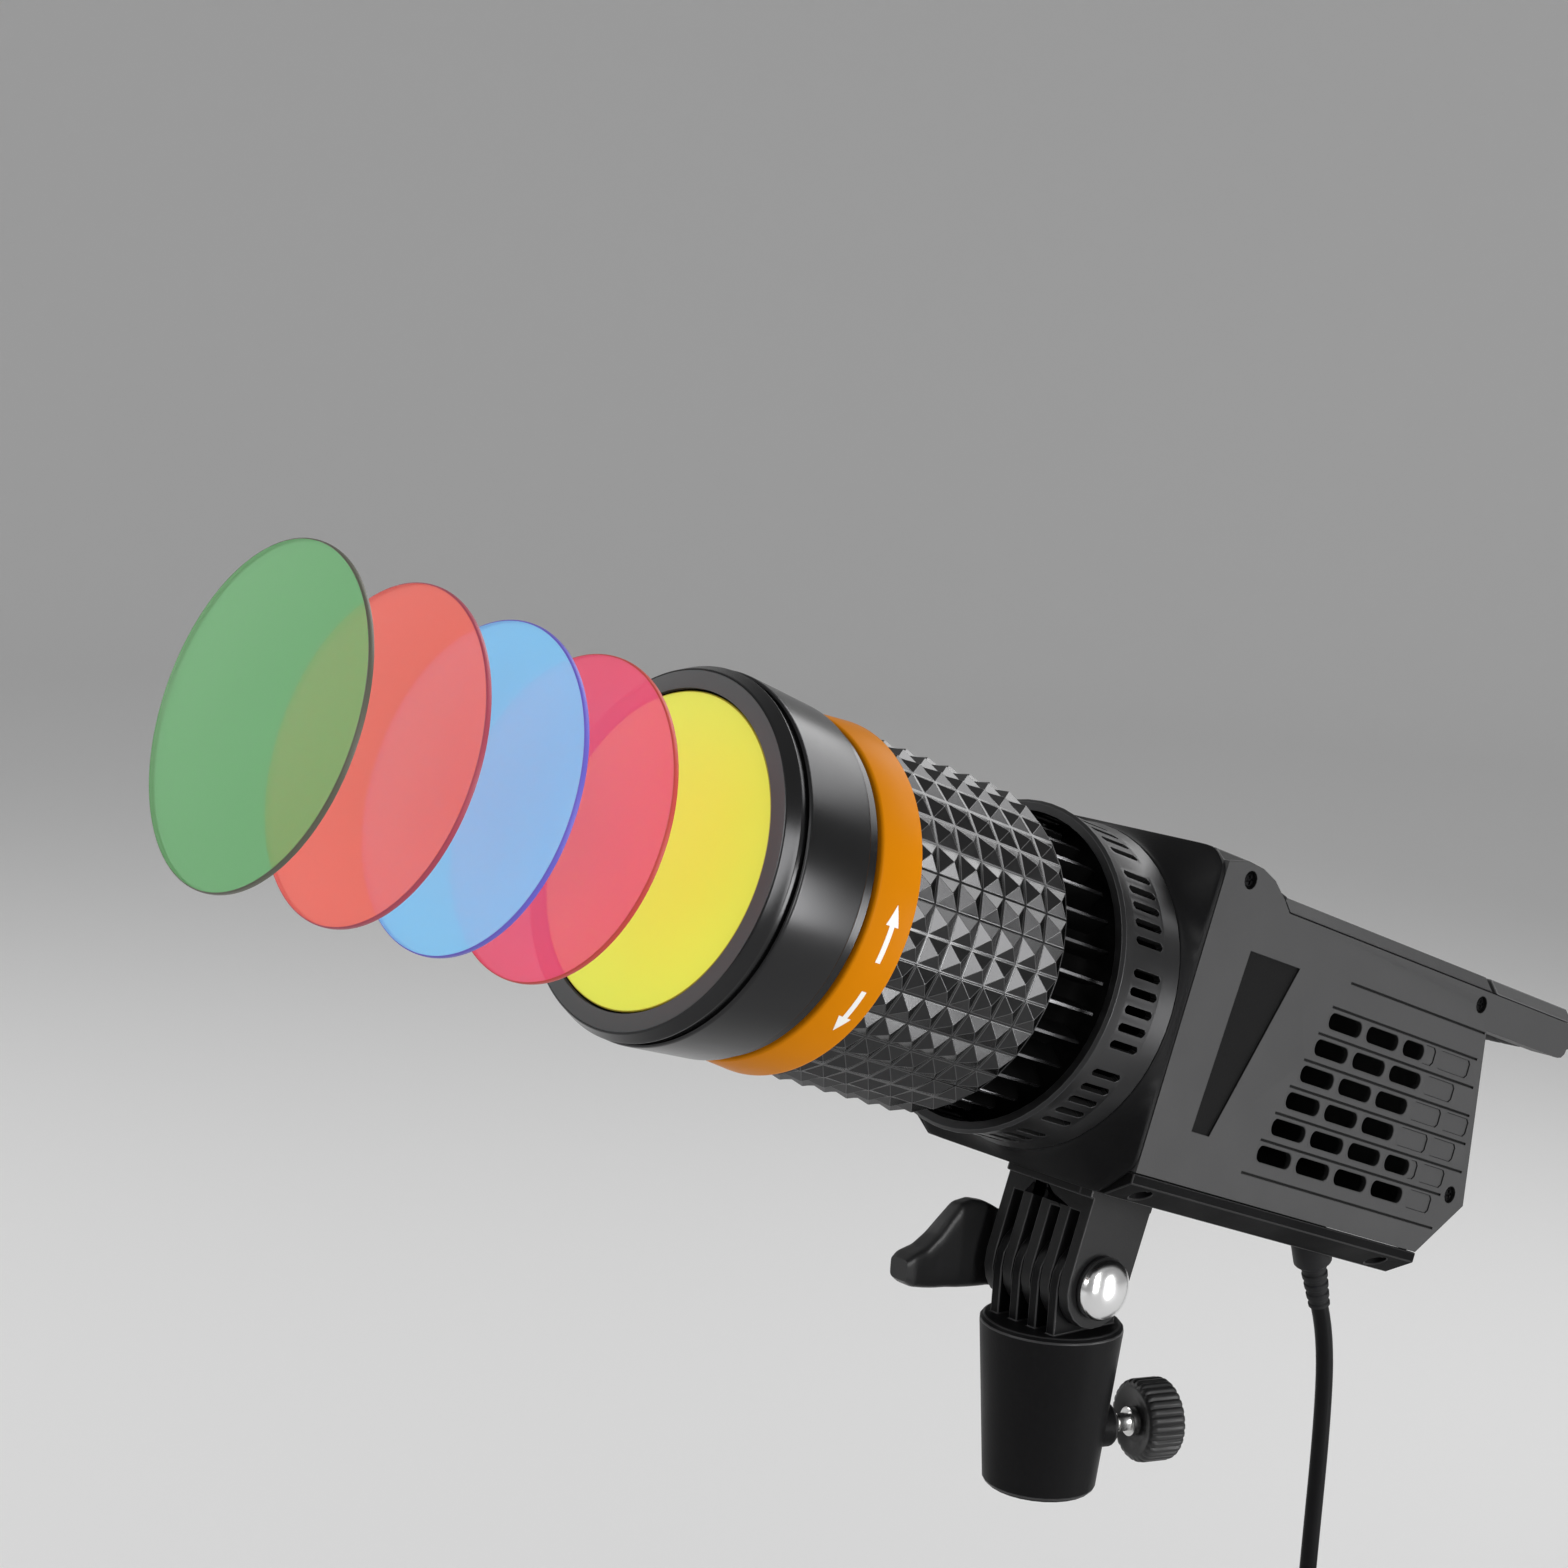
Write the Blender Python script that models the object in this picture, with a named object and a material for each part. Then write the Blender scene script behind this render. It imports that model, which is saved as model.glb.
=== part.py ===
import math

import bmesh
import bpy
from mathutils import Matrix, Vector

# A focusing studio light on a stand socket. Metres, Z up along the socket, lamp front towards -Y.
# The origin is the middle of the socket mouth. Lamp pieces are drawn in lamp coordinates:
# y runs back from the front edge of the side panels, z runs up from the lamp axis.

for old in list(bpy.data.objects):
    bpy.data.objects.remove(old, do_unlink=True)

mm = 0.001
degree = math.pi / 180
full_turn = 2 * math.pi

# Fits
part_gap = 0.3 * mm
sliding_gap = 0.5 * mm
turning_gap = 0.6 * mm
weld_distance = 0.001 * mm

# Tilt hinge and stand socket
hinge_behind_front = 40.5 * mm
axis_above_hinge = 101.9 * mm
rest_tilt = 17.6 * degree

socket_height = 65.6 * mm
socket_mouth_radius = 21.6 * mm
socket_rim_radius = 27.4 * mm
socket_edge = 1.6 * mm
socket_bore_radius = 8.2 * mm
socket_bore_depth = 46 * mm
socket_bore_lead = 1.2 * mm
hinge_rise = 18 * mm
hinge_height = socket_height + hinge_rise
socket_sides = 28

tine_reach = 16.2 * mm
head_tine_count = 5
head_tine_width = 4.9 * mm
tine_slot_width = 5.0 * mm
tine_side_gap = 0.4 * mm
tine_end_gap = 1.6 * mm
tine_bore_radius = 5.2 * mm
tine_bore_gap = 0.5 * mm
tine_edge = 0.5 * mm
bore_sides = 24
small_sides = 20
tine_steps = 9
tine_stack = head_tine_count * head_tine_width + (head_tine_count - 1) * tine_slot_width

# Clamp screw of the socket
screw_heading = 15 * degree
screw_height = 21 * mm
boss_radius = 8.6 * mm
boss_reach = 29.5 * mm
boss_edge = 1.2 * mm
boss_sides = 28
screw_radius = 3.6 * mm
screw_collar_radius = 5.6 * mm
screw_collar_length = 3.2 * mm
knob_start = 39.6 * mm
knob_length = 15.6 * mm
knob_radius = 16 * mm
knob_rib_depth = 1.0 * mm
knob_rib_count = 14
knob_edge = 1.4 * mm
knob_dish = 1.6 * mm
knob_hub_radius = 8.4 * mm
screw_tip = 13.6 * mm
pad_radius = 3.3 * mm
pad_length = 3 * mm
pad_seat = 10.2 * mm
screw_hole_gap = 0.4 * mm

# Housing
housing_half_width = 57.9 * mm
housing_top = 56 * mm
housing_bottom = -67 * mm
panel_bottom = -56 * mm
panel_top = 50.4 * mm
panel_thickness = 2.6 * mm
panel_front_top = 60 * mm
ear_points = ((11, 62.6), (20, 62), (28, 59.6), (36, 54.5), (41, 50.4))
bar_underside = 35.6 * mm
bar_end = 240 * mm
bar_end_radius = 9 * mm
bar_corner_steps = 4
rear_top_y = 178.8 * mm
rear_low_y = 196.7 * mm
rear_low_z = -33.2 * mm
rear_foot_y = 174.5 * mm
tray_half_width = 46.4 * mm
tray_rim = 4 * mm
tray_wall = 3 * mm
tray_rear = 176 * mm
cover_chamfer = 5 * mm
cover_depth = 8.6 * mm
panel_edge = 0.6 * mm

# Side panel features, as (y, z) in millimetres from the panel's front edge and the lamp axis
recess_points = ((26, 32.4), (55.8, 32.6), (33.2, -36.2), (23.1, -36.2))
recess_depth = 1.0 * mm
vent_rows = 6
vent_length = 21.4 * mm
vent_height = 7.2 * mm
vent_pitch = 24.2 * mm
vent_row_pitch = 11.05 * mm
vent_first_y = 80.8 * mm
vent_first_z = 18.6 * mm
vent_row_shift = 3.7 * mm
vent_counts = (3, 3, 3, 3, 4, 4)
vent_corner_share = 0.38
blind_ends = ((174.4,), (168.8,), (165.1, 184.3), (161.4, 180.6), (178.6,), (174.9,))
blind_gap = 2.8 * mm
blind_depth = 0.5 * mm
part_closed = {(0, 2): 6.8, (4, 3): 4.4}
louvre_height = 0.8 * mm
louvre_depth = 0.8 * mm
louvre_rise = 5.0 * mm
louvre_end_gap = 4 * mm
louvre_limits = (200, 200, 200, 200, 200, 180)
groove_lines = ((87.5, 34.4, 178.0), (56.9, -45.2, 181.0))
panel_screws = ((14.6, 56.4), (170.6, 44.6), (186.0, -30.5))
screw_pocket_radius = 3.4 * mm
screw_head_radius = 2.9 * mm
screw_head_length = 1.5 * mm
screw_sides = 12
pocket_sides = 14

# Front shell and vented collar
collar_front = -41.7 * mm
collar_rear = -10.7 * mm
collar_radius = 62 * mm
collar_waist = 1.2 * mm
collar_wall = 3 * mm
collar_lip = 3.4 * mm
collar_bore = collar_radius - collar_waist - collar_wall
slot_groups = 10
slots_per_group = 5
slot_pitch = 6.2 * degree
slot_front = -33.6 * mm
slot_rear = -19 * mm
slot_width = 3.1 * mm
slot_corner_share = 0.36
shell_front = -10.4 * mm
shell_square = -1.8 * mm
shell_rear = -0.3 * mm
shell_wall = 6 * mm
shell_side_wall = 1.9 * mm
shell_front_bore = collar_radius - shell_wall
shell_rear_bore = housing_half_width - shell_side_wall
shell_sides = 48
shell_top = 64 * mm
shell_corner = 13 * mm

# Finned drum and light source
fin_count = 36
fin_front = -71 * mm
fin_rear = -48 * mm
fin_gap = 4.4 * mm
fin_radius = collar_bore - fin_gap
fin_depth = 10.4 * mm
fin_root_radius = fin_radius - fin_depth
fin_tip_width = 1.4 * mm
drum_rear = -13 * mm
drum_base_gap = 0.4 * mm
drum_base_front = -10 * mm
drum_base_rear = -4.5 * mm
drum_wall = 7 * mm
tube_front = -158 * mm
tube_radius = fin_radius
tube_wall = 2.6 * mm
tube_bore = tube_radius - tube_wall
tube_flange_width = 9.8 * mm
tube_flange_inner = tube_radius - tube_flange_width
tube_flange = 3 * mm
board_thickness = 1.8 * mm
board_gap = 1.2 * mm
board_half = (tube_flange_inner - board_gap) / math.sqrt(2)
holder_gap = 4.6 * mm
holder_width = 19 * mm
holder_outer = tube_flange_inner - holder_gap
holder_inner = holder_outer - holder_width
holder_thickness = 4 * mm
emitter_gap = 4 * mm
emitter_radius = holder_inner - emitter_gap
emitter_thickness = 1.2 * mm

# Zoom grip and ring
grip_front = -145.2 * mm
grip_rear = -68.7 * mm
grip_bore = tube_radius + sliding_gap
grip_wall = 4.3 * mm
grip_base_radius = grip_bore + grip_wall
grip_stud_height = 2.6 * mm
grip_tip_radius = grip_base_radius + grip_stud_height
grip_columns = 7
grip_studs = 36
ring_front = -163 * mm
ring_rear = -145.5 * mm
ring_inner = grip_base_radius - part_gap
ring_wall = 3.1 * mm
ring_flare = 1.4 * mm
ring_front_radius = ring_inner + ring_wall
ring_rear_radius = ring_front_radius + ring_flare
ring_edge = 1.2 * mm
ring_sides = 40

# Lens barrel
barrel_front = -207.7 * mm
barrel_face_radius = 60.8 * mm
barrel_chamfer_end = -203.6 * mm
barrel_radius = 64 * mm
barrel_groove = -200.3 * mm
barrel_groove_half = 0.9 * mm
barrel_groove_depth = 1.4 * mm
barrel_step = -169.4 * mm
barrel_step_radius = 62.2 * mm
barrel_lip_radius = 60.2 * mm
barrel_rear = -164.6 * mm
barrel_tube_radius = tube_bore - turning_gap
barrel_tube_wall = 2.9 * mm
barrel_tube_bore = barrel_tube_radius - barrel_tube_wall
barrel_tube_rear = -112 * mm
barrel_sides = 36
cell_radius = 54.7 * mm
cell_floor = -194 * mm
annulus_depth = 2 * mm
annulus_seat = 1.6 * mm
lens_front = -190 * mm
lens_edge = 2.4 * mm
lens_bulge = 7 * mm
lens_gap = 0.6 * mm
lens_radius = barrel_tube_bore - lens_gap
lens_steps = 4
lens_sides = 24
retainer_length = 3 * mm
retainer_width = 2.6 * mm
retainer_inner = lens_radius - retainer_width

# Colour filters: front faces in the photograph's spread, thickness and radius
filter_gap = 0.7 * mm
filter_radius = cell_radius - filter_gap
filter_thickness = 2 * mm
filter_edge = 0.4 * mm
filter_sides = 30
filter_fronts = (("filter_yellow", -206.9), ("filter_pink", -248.4), ("filter_blue", -284.7),
                 ("filter_red", -322.4), ("filter_green", -365.0))

# Rear controls
rear_wall = 3 * mm
rear_inset = 1.2 * mm
dial_radius = 11 * mm
dial_length = 12 * mm
dial_flutes = 18
dial_flute_depth = 0.7 * mm
dial_edge = 1.0 * mm
dial_shaft_radius = 3 * mm
dial_x = 26 * mm
control_height = -2 * mm
rocker_x = -28 * mm
rocker_half = (9.4, 6.0)
rocker_rim = 1.8 * mm
rim_corner_share = 0.3
rim_inner_share = 0.1
rocker_rim_height = 1.4 * mm
rocker_throw = 8 * degree
rocker_crown = 2.4 * mm
window_half = (15, 7.5)
window_height = 17 * mm
window_thickness = 1.4 * mm

# Rear handle
arm_thickness = 13 * mm
handle_y = 227 * mm
handle_z = 45.6 * mm
handle_radius = 9.8 * mm
handle_swell = 1.1 * mm
handle_rings = 5

# Head bracket
bracket_front = 24 * mm
bracket_rear = 57 * mm
slot_tops = (25, 24, 31, 25)
flange_front = 19 * mm
flange_rear = 60.5 * mm
flange_thickness = 3.4 * mm
flange_corner_share = 0.16
tray_screws = ((51.5, 13.8), (51.5, 160), (-51.5, 13.8), (-51.5, 160))
tray_screw_radius = 3.2 * mm
tray_screw_height = 1.4 * mm
tray_pocket_radius = 3.9 * mm
tray_pocket_floor = -60.2 * mm

# Hinge bolt and lever
bolt_radius = 4.7 * mm
bolt_head_radius = 11.3 * mm
bolt_head_height = 5.2 * mm
bolt_rim = 1.4 * mm
bolt_tail = 24.3 * mm
bolt_sides = 22
washer_radius = 12 * mm
washer_thickness = 1.4 * mm
lever_hub_radius = 14 * mm
lever_sections = ((-14, 3, -3, 25, 33), (-11.5, 9, -8, 24.4, 34), (-6, 13.4, -12.4, 24.4, 34.6),
                  (0, 16, -13.2, 24.4, 35), (3, 16.4, -13.2, 24.4, 35.2), (6, 18.6, -13.1, 28.3, 35.6),
                  (10, 20.6, -13.0, 28.4, 36.2), (16, 22, -12.6, 28.6, 37), (22, 21, -12.0, 28.8, 37.8),
                  (27, 15.5, -11.4, 29.6, 39), (32, 9.5, -11.2, 30.4, 40.6), (37, 5.2, -10.6, 31, 42),
                  (43, 3.2, -9.4, 31.4, 43), (46, 1.4, -7.0, 32.6, 42))
lever_bevel = 1.2 * mm
lever_bevel_share = 0.8

# Fan and electronics
fan_front = 0 * mm
fan_depth = 20 * mm
fan_half = 45 * mm
fan_bore = 41.5 * mm
fan_blades = 7
fan_hub_radius = 16 * mm
fan_blade_radius = 39.5 * mm
fan_blade_thickness = 1.6 * mm
fan_twist = 34 * degree
fan_spoke = 2.5 * mm
fan_spoke_recess = 0.5 * mm
fan_sides = 28
fan_spoke_half = 3 * mm
fan_centre_radius = 17 * mm
driver_half = (38, 42)
driver_middle_y = 100 * mm
driver_z = -58 * mm
driver_legs = ((-33, -37), (33, -37), (-33, 37), (33, 37))
driver_leg_half = 2.5 * mm
driver_thickness = 2 * mm
driver_blocks = ((-20, -22, 14, 12, 20), (18, -20, 10, 14, 16), (-18, 20, 12, 16, 24), (20, 18, 12, 12, 12))

# Cord
cord_radius = 3.5 * mm
gland_x = 30 * mm
gland_y = 147.2 * mm
gland_lean = 37 * degree
gland_base_radius = 7.6 * mm
gland_inside = 5 * mm
gland_outside = 5.6 * mm
gland_shoulder = 1.6 * mm
relief_length = 18 * mm
relief_base_radius = 5.4 * mm
relief_tip_radius = 4.3 * mm
gland_sides = 14
relief_rings = 3
relief_ring_depth = 0.5 * mm
lead_route = ((0, 0), (2.7, -7), (5.2, -16), (7.2, -28), (8.4, -44), (9.0, -66), (9.0, -100),
              (9.0, -136), (9.0, -172))
lead_spacing = 11 * mm
coil_radius = 40 * mm
coil_layer = 8.0 * mm
coil_pitch = 7.8 * mm
coil_inner_turns = 4
coil_outer_turns = 3
coil_step_out = 3.8 * mm
coil_lane_change = (3.3, 3.7)
coil_rise = (3.7, 4.05)
points_per_turn = 24
tail_length = 36 * mm
tail_points = 4
tie_at_share = 0.66
tie_width = 9 * mm
tie_thickness = 1.4 * mm
tie_gap = 0.7 * mm
plug_length = 34 * mm
plug_shoulder_share = 0.35
neck_corner_share = 0.55
plug_corner_share = 0.5
pin_sides = 12
plug_half = (9, 13)
plug_neck_radius = 5 * mm
plug_neck_length = 12 * mm
pin_radius = 2.4 * mm
pin_length = 19 * mm
pin_spacing = 9.5 * mm


def look(name, colour, roughness, metallic=0.0):
    """A plain material with one colour, roughness and metallic value."""
    made = bpy.data.materials.new(name)
    made.use_nodes = True
    shader = made.node_tree.nodes["Principled BSDF"]
    shader.inputs["Base Color"].default_value = (*colour, 1)
    shader.inputs["Roughness"].default_value = roughness
    shader.inputs["Metallic"].default_value = metallic
    return made


def frame(name, parent=None, location=(0, 0, 0), rotation=(0, 0, 0)):
    """An empty that carries pieces, placed and turned from its parent."""
    empty = bpy.data.objects.new(name, None)
    bpy.context.collection.objects.link(empty)
    empty.parent = parent
    empty.location = location
    empty.rotation_euler = rotation
    return empty


def piece(name, mesh_work, parent, colour, roughness, metallic=0.0, sharp=32 * degree):
    """Turns the worked mesh into a named object with its own material."""
    bmesh.ops.remove_doubles(mesh_work, verts=mesh_work.verts, dist=weld_distance)
    bmesh.ops.recalc_face_normals(mesh_work, faces=mesh_work.faces)
    if mesh_work.calc_volume(signed=True) < 0:
        bmesh.ops.reverse_faces(mesh_work, faces=mesh_work.faces)
    mesh = bpy.data.meshes.new(name)
    mesh_work.to_mesh(mesh)
    mesh_work.free()
    mesh.materials.append(look(name + "_look", colour, roughness, metallic))
    mesh.shade_smooth()
    mesh.set_sharp_from_angle(angle=sharp)
    made = bpy.data.objects.new(name, mesh)
    bpy.context.collection.objects.link(made)
    made.parent = parent
    return made


def helper(name, mesh_work, parent):
    """A hidden shape that is joined to a piece or cut out of it."""
    made = piece(name, mesh_work, parent, (0.5, 0.5, 0.5), 0.5)
    made.hide_render = True
    made.display_type = "WIRE"
    return made


def combine(made, other, operation):
    """Joins the helper to the piece or cuts it away."""
    step = made.modifiers.new(operation.lower(), "BOOLEAN")
    step.operation = operation
    step.solver = "EXACT"
    step.object = other


def skin(loops, closed=True, work=None):
    """Faces from each loop of points to the next; closed loops run on to the first, others get caps."""
    work = work or bmesh.new()
    rows = [[work.verts.new(point) for point in loop] for loop in loops]
    pairs = list(zip(rows, rows[1:] + rows[:1])) if closed else list(zip(rows, rows[1:]))
    for first, second in pairs:
        count = len(first)
        for index in range(count):
            after = (index + 1) % count
            corners = [first[index], first[after], second[after], second[index]]
            work.faces.new(corners)
    if not closed:
        caps = [work.faces.new(rows[0]), work.faces.new(rows[-1])]
        bmesh.ops.triangulate(work, faces=caps)
    return work


def ring(y, radius, sides):
    """Points of a circle round the Y axis."""
    return [(radius * math.cos(full_turn * i / sides), y, radius * math.sin(full_turn * i / sides))
            for i in range(sides)]


def turned(profile, sides, hollow=True, work=None):
    """A body turned round the Y axis from a profile of (y, radius); solid ones end in flat caps."""
    return skin([ring(y, radius, sides) for y, radius in profile], hollow, work)


def extruded(outline, place_point, start, end, work=None):
    """A flat outline pushed from start to end; place_point puts (u, v, depth) into space."""
    return skin([[place_point(u, v, depth) for u, v in outline] for depth in (start, end)], False, work)


def along_x(u, v, depth):
    return (depth, u, v)


def along_y(u, v, depth):
    return (u, depth, v)


def along_z(u, v, depth):
    return (u, v, depth)


def block(low, high, work=None):
    """A box between two corners."""
    outline = [(low[0], low[1]), (high[0], low[1]), (high[0], high[1]), (low[0], high[1])]
    return extruded(outline, along_z, low[2], high[2], work)


def arc(middle, radius, start, end, count):
    """Points of an arc in a plane, both ends included."""
    return [(middle[0] + radius * math.cos(start + (end - start) * i / count),
             middle[1] + radius * math.sin(start + (end - start) * i / count)) for i in range(count + 1)]


def cornered(half_u, half_v, share, middle=(0, 0)):
    """A rectangle whose corners are cut off by a share of its shorter half."""
    cut = min(half_u, half_v) * share
    points = [(half_u, cut - half_v), (half_u, half_v - cut), (half_u - cut, half_v),
              (cut - half_u, half_v), (-half_u, half_v - cut), (-half_u, cut - half_v),
              (cut - half_u, -half_v), (half_u - cut, -half_v)]
    return [(middle[0] + u, middle[1] + v) for u, v in points]


def turn_mesh(work, matrix):
    bmesh.ops.transform(work, matrix=matrix, verts=work.verts)
    return work


def in_mm(points):
    return [tuple(value * mm for value in point) for point in points]


# Frames: the head turns on the hinge, the lamp frame sits on the lamp axis at the panels' front edge
stand = frame("stand_frame")
hinge = frame("hinge_frame", stand, (0, 0, hinge_height), (-rest_tilt, 0, 0))
lamp = frame("lamp_frame", hinge, (0, -hinge_behind_front, axis_above_hinge))
level = frame("level_frame", hinge, (0, 0, 0), (rest_tilt, 0, 0))
screw_frame = frame("clamp_frame", stand, (0, 0, screw_height), (0, 0, -screw_heading))
grip_frame = frame("grip_frame", lamp)
barrel_frame = frame("barrel_frame", lamp)

# Colours
panel_grey = (0.10, 0.10, 0.105)
body_black = (0.012, 0.012, 0.013)
soft_black = (0.02, 0.02, 0.022)


# Front shell: a round front that flares to the square housing
def housing_reach(angle):
    """Distance from the lamp axis to the housing outline in one direction."""
    x_share = math.cos(angle)
    z_share = math.sin(angle)
    lower_cut = (housing_half_width - housing_bottom - shell_corner) / math.sqrt(2)
    upper_cut = (housing_half_width + shell_top - shell_corner / 2) / math.sqrt(2)
    sides = [(abs(x_share), housing_half_width), (z_share, shell_top), (-z_share, -housing_bottom),
             ((abs(x_share) - z_share) / math.sqrt(2), lower_cut),
             ((abs(x_share) + z_share) / math.sqrt(2), upper_cut)]
    return min(limit / share for share, limit in sides if share > 0)


def shell_loop(y, share):
    """A loop part of the way from the collar's circle to the housing outline."""
    points = []
    for i in range(shell_sides):
        angle = full_turn * i / shell_sides
        reach = collar_radius + (housing_reach(angle) - collar_radius) * share
        points.append((reach * math.cos(angle), y, reach * math.sin(angle)))
    return points


def shell_bore_at(y):
    """Radius of the shell's bore at one place along the lamp axis."""
    share = (y - shell_front) / (shell_rear - shell_front)
    return shell_front_bore + (shell_rear_bore - shell_front_bore) * share


shell_flare = ((0.0, 0.03), (0.35, 0.18), (0.7, 0.55), (0.9, 0.86), (1.0, 1.0))
shell_flare_length = shell_square - shell_front
shell_loops = [shell_loop(shell_front + shell_flare_length * step, share) for step, share in shell_flare]
shell_loops.append(shell_loop(shell_rear, 1.0))
shell_loops.append(ring(shell_rear, shell_rear_bore, shell_sides))
shell_loops.append(ring(shell_front, shell_front_bore, shell_sides))
piece("front_shell", skin(shell_loops), lamp, body_black, 0.42)

# Vented collar: groups of slots through a waisted ring, each slot framed by its own cell
collar_rows = [(collar_front, collar_radius - collar_waist), (collar_front + collar_waist, collar_radius),
               (slot_front - collar_waist, collar_radius - collar_waist),
               (slot_rear + collar_waist, collar_radius - collar_waist), (collar_rear, collar_radius)]
bore_rows = [(y, collar_bore) for y, radius in collar_rows if y in (collar_front, collar_rear)
             or slot_front - collar_lip < y < slot_rear + collar_lip]
group_turn = full_turn / slot_groups
column_angles = []
for group in range(slot_groups):
    for column in range(slots_per_group + 1):
        column_angles.append((group * group_turn + column * slot_pitch, column < slots_per_group))
collar_work = bmesh.new()


def on_ring(angle, y, radius):
    return (radius * math.cos(angle), y, radius * math.sin(angle))


def slot_rim(angle, radius):
    """The eight corners of one slot."""
    points = cornered(slot_width / 2, (slot_rear - slot_front) / 2, slot_corner_share * 2,
                      (0, (slot_rear + slot_front) / 2))
    return [on_ring(angle + offset / radius, y, radius) for offset, y in points]


def collar_side(rows, slot_band):
    """One side of the collar; the band with the slots gets rims instead of plain faces."""
    grid = [[collar_work.verts.new(on_ring(angle, y, radius)) for y, radius in rows]
            for angle, _ in column_angles]
    rims = []
    for column, (angle, has_slot) in enumerate(column_angles):
        here = grid[column]
        there = grid[(column + 1) % len(grid)]
        for row in range(len(rows) - 1):
            corners = [here[row], here[row + 1], there[row + 1], there[row]]
            if not (has_slot and row == slot_band):
                collar_work.faces.new(corners)
                continue
            rim = [collar_work.verts.new(point) for point in slot_rim(angle + slot_pitch / 2, rows[row][1])]
            rims.append(rim)
            low_here, high_here, high_there, low_there = corners
            around = [low_there, high_there, high_here, low_here]
            for side in range(4):
                first = rim[2 * side]
                second = rim[2 * side + 1]
                third = rim[(2 * side + 2) % 8]
                start = around[side]
                end = around[(side + 1) % 4]
                collar_work.faces.new((start, first, second, end))
                collar_work.faces.new((end, second, third))
    return grid, rims


outer_grid, outer_rims = collar_side(collar_rows, 2)
inner_grid, inner_rims = collar_side(bore_rows, 1)
for outer_rim, inner_rim in zip(outer_rims, inner_rims):
    for i in range(8):
        collar_work.faces.new((outer_rim[i], outer_rim[(i + 1) % 8], inner_rim[(i + 1) % 8], inner_rim[i]))
for column in range(len(column_angles)):
    after = (column + 1) % len(column_angles)
    for end in (0, -1):
        collar_work.faces.new((outer_grid[column][end], outer_grid[after][end], inner_grid[after][end],
                               inner_grid[column][end]))
piece("vent_collar", collar_work, lamp, (0.13, 0.13, 0.135), 0.38, 0.4)


# Finned drum: fins with thin tips on a turned core
def fin_loop(y, tip, root):
    """One loop of the drum's outline: a valley and the two edges of a fin tip for each fin."""
    points = []
    half_tip = fin_tip_width / 2 / fin_radius
    for i in range(fin_count):
        middle = full_turn * (i + 0.5) / fin_count
        for offset, radius in ((-math.pi / fin_count, root), (-half_tip, tip), (half_tip, tip)):
            points.append(on_ring(middle + offset, y, radius))
    return points


drum_hollow = fin_root_radius - drum_wall
base_front_radius = shell_bore_at(drum_base_front) - drum_base_gap
base_rear_radius = shell_bore_at(drum_base_rear) - drum_base_gap
drum_rows = [(fin_rear, fin_root_radius), (drum_rear, fin_root_radius), (drum_base_front, base_front_radius),
             (drum_base_rear, base_rear_radius), (drum_base_rear, drum_hollow),
             (fin_front + drum_wall, drum_hollow)]
drum_loops = [fin_loop(y, fin_radius, fin_root_radius) for y in (fin_front, fin_rear)]
drum_loops += [fin_loop(y, radius, radius - part_gap) for y, radius in drum_rows]
piece("finned_drum", skin(drum_loops, False), lamp, body_black, 0.45, 0.3)

# Light source in front of the drum
board_rear = fin_front - part_gap
board_low = (-board_half, board_rear - board_thickness, -board_half)
board_high = (board_half, board_rear, board_half)
piece("cob_board", block(board_low, board_high), lamp, (0.75, 0.75, 0.72), 0.4, 0.6)
emitter_rear = board_rear - board_thickness - part_gap
emitter_profile = [(emitter_rear - emitter_thickness, emitter_radius), (emitter_rear, emitter_radius)]
piece("led_emitter", turned(emitter_profile, lens_sides, False), lamp, (0.85, 0.62, 0.08), 0.35)
holder_front = emitter_rear - holder_thickness
holder_profile = [(holder_front, holder_inner + holder_thickness), (emitter_rear, holder_inner),
                  (emitter_rear, holder_outer), (holder_front, holder_outer)]
piece("led_holder", turned(holder_profile, lens_sides), lamp, (0.6, 0.6, 0.6), 0.5)

# Guide tube inside the grip, bolted to the drum by its flange
flange_rear_y = fin_front - part_gap
tube_profile = [(tube_front, tube_radius), (flange_rear_y, tube_radius), (flange_rear_y, tube_flange_inner),
                (flange_rear_y - tube_flange, tube_flange_inner), (flange_rear_y - tube_flange, tube_bore),
                (tube_front, tube_bore)]
piece("guide_tube", turned(tube_profile, barrel_sides), lamp, body_black, 0.4, 0.5)

# Knurled grip: a pyramid stud in each cell of the sleeve, plain under the ring
stud_step = (grip_rear - grip_front) / grip_columns
grip_plain = ring_inner - turning_gap
grip_work = bmesh.new()
sleeve_rows = [(ring_front, grip_plain), (grip_front, grip_plain)]
sleeve_rows += [(grip_front + stud_step * i, grip_base_radius) for i in range(grip_columns + 1)]
sleeve_rows += [(grip_rear, grip_bore), (ring_front, grip_bore)]
sleeve = [[grip_work.verts.new(point) for point in ring(y, radius, grip_studs)] for y, radius in sleeve_rows]
first_stud_row = 2
for row, loop in enumerate(sleeve):
    after_loop = sleeve[(row + 1) % len(sleeve)]
    is_stud_row = first_stud_row <= row < first_stud_row + grip_columns
    for i in range(grip_studs):
        after = (i + 1) % grip_studs
        corners = [loop[i], loop[after], after_loop[after], after_loop[i]]
        if is_stud_row:
            y = grip_front + stud_step * (row - first_stud_row + 0.5)
            tip = grip_work.verts.new(on_ring(full_turn * (i + 0.5) / grip_studs, y, grip_tip_radius))
            for side in range(4):
                grip_work.faces.new((corners[side], corners[(side + 1) % 4], tip))
        else:
            grip_work.faces.new(corners)
piece("zoom_grip", grip_work, grip_frame, (0.06, 0.06, 0.062), 0.34, 0.8, sharp=12 * degree)

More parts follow.
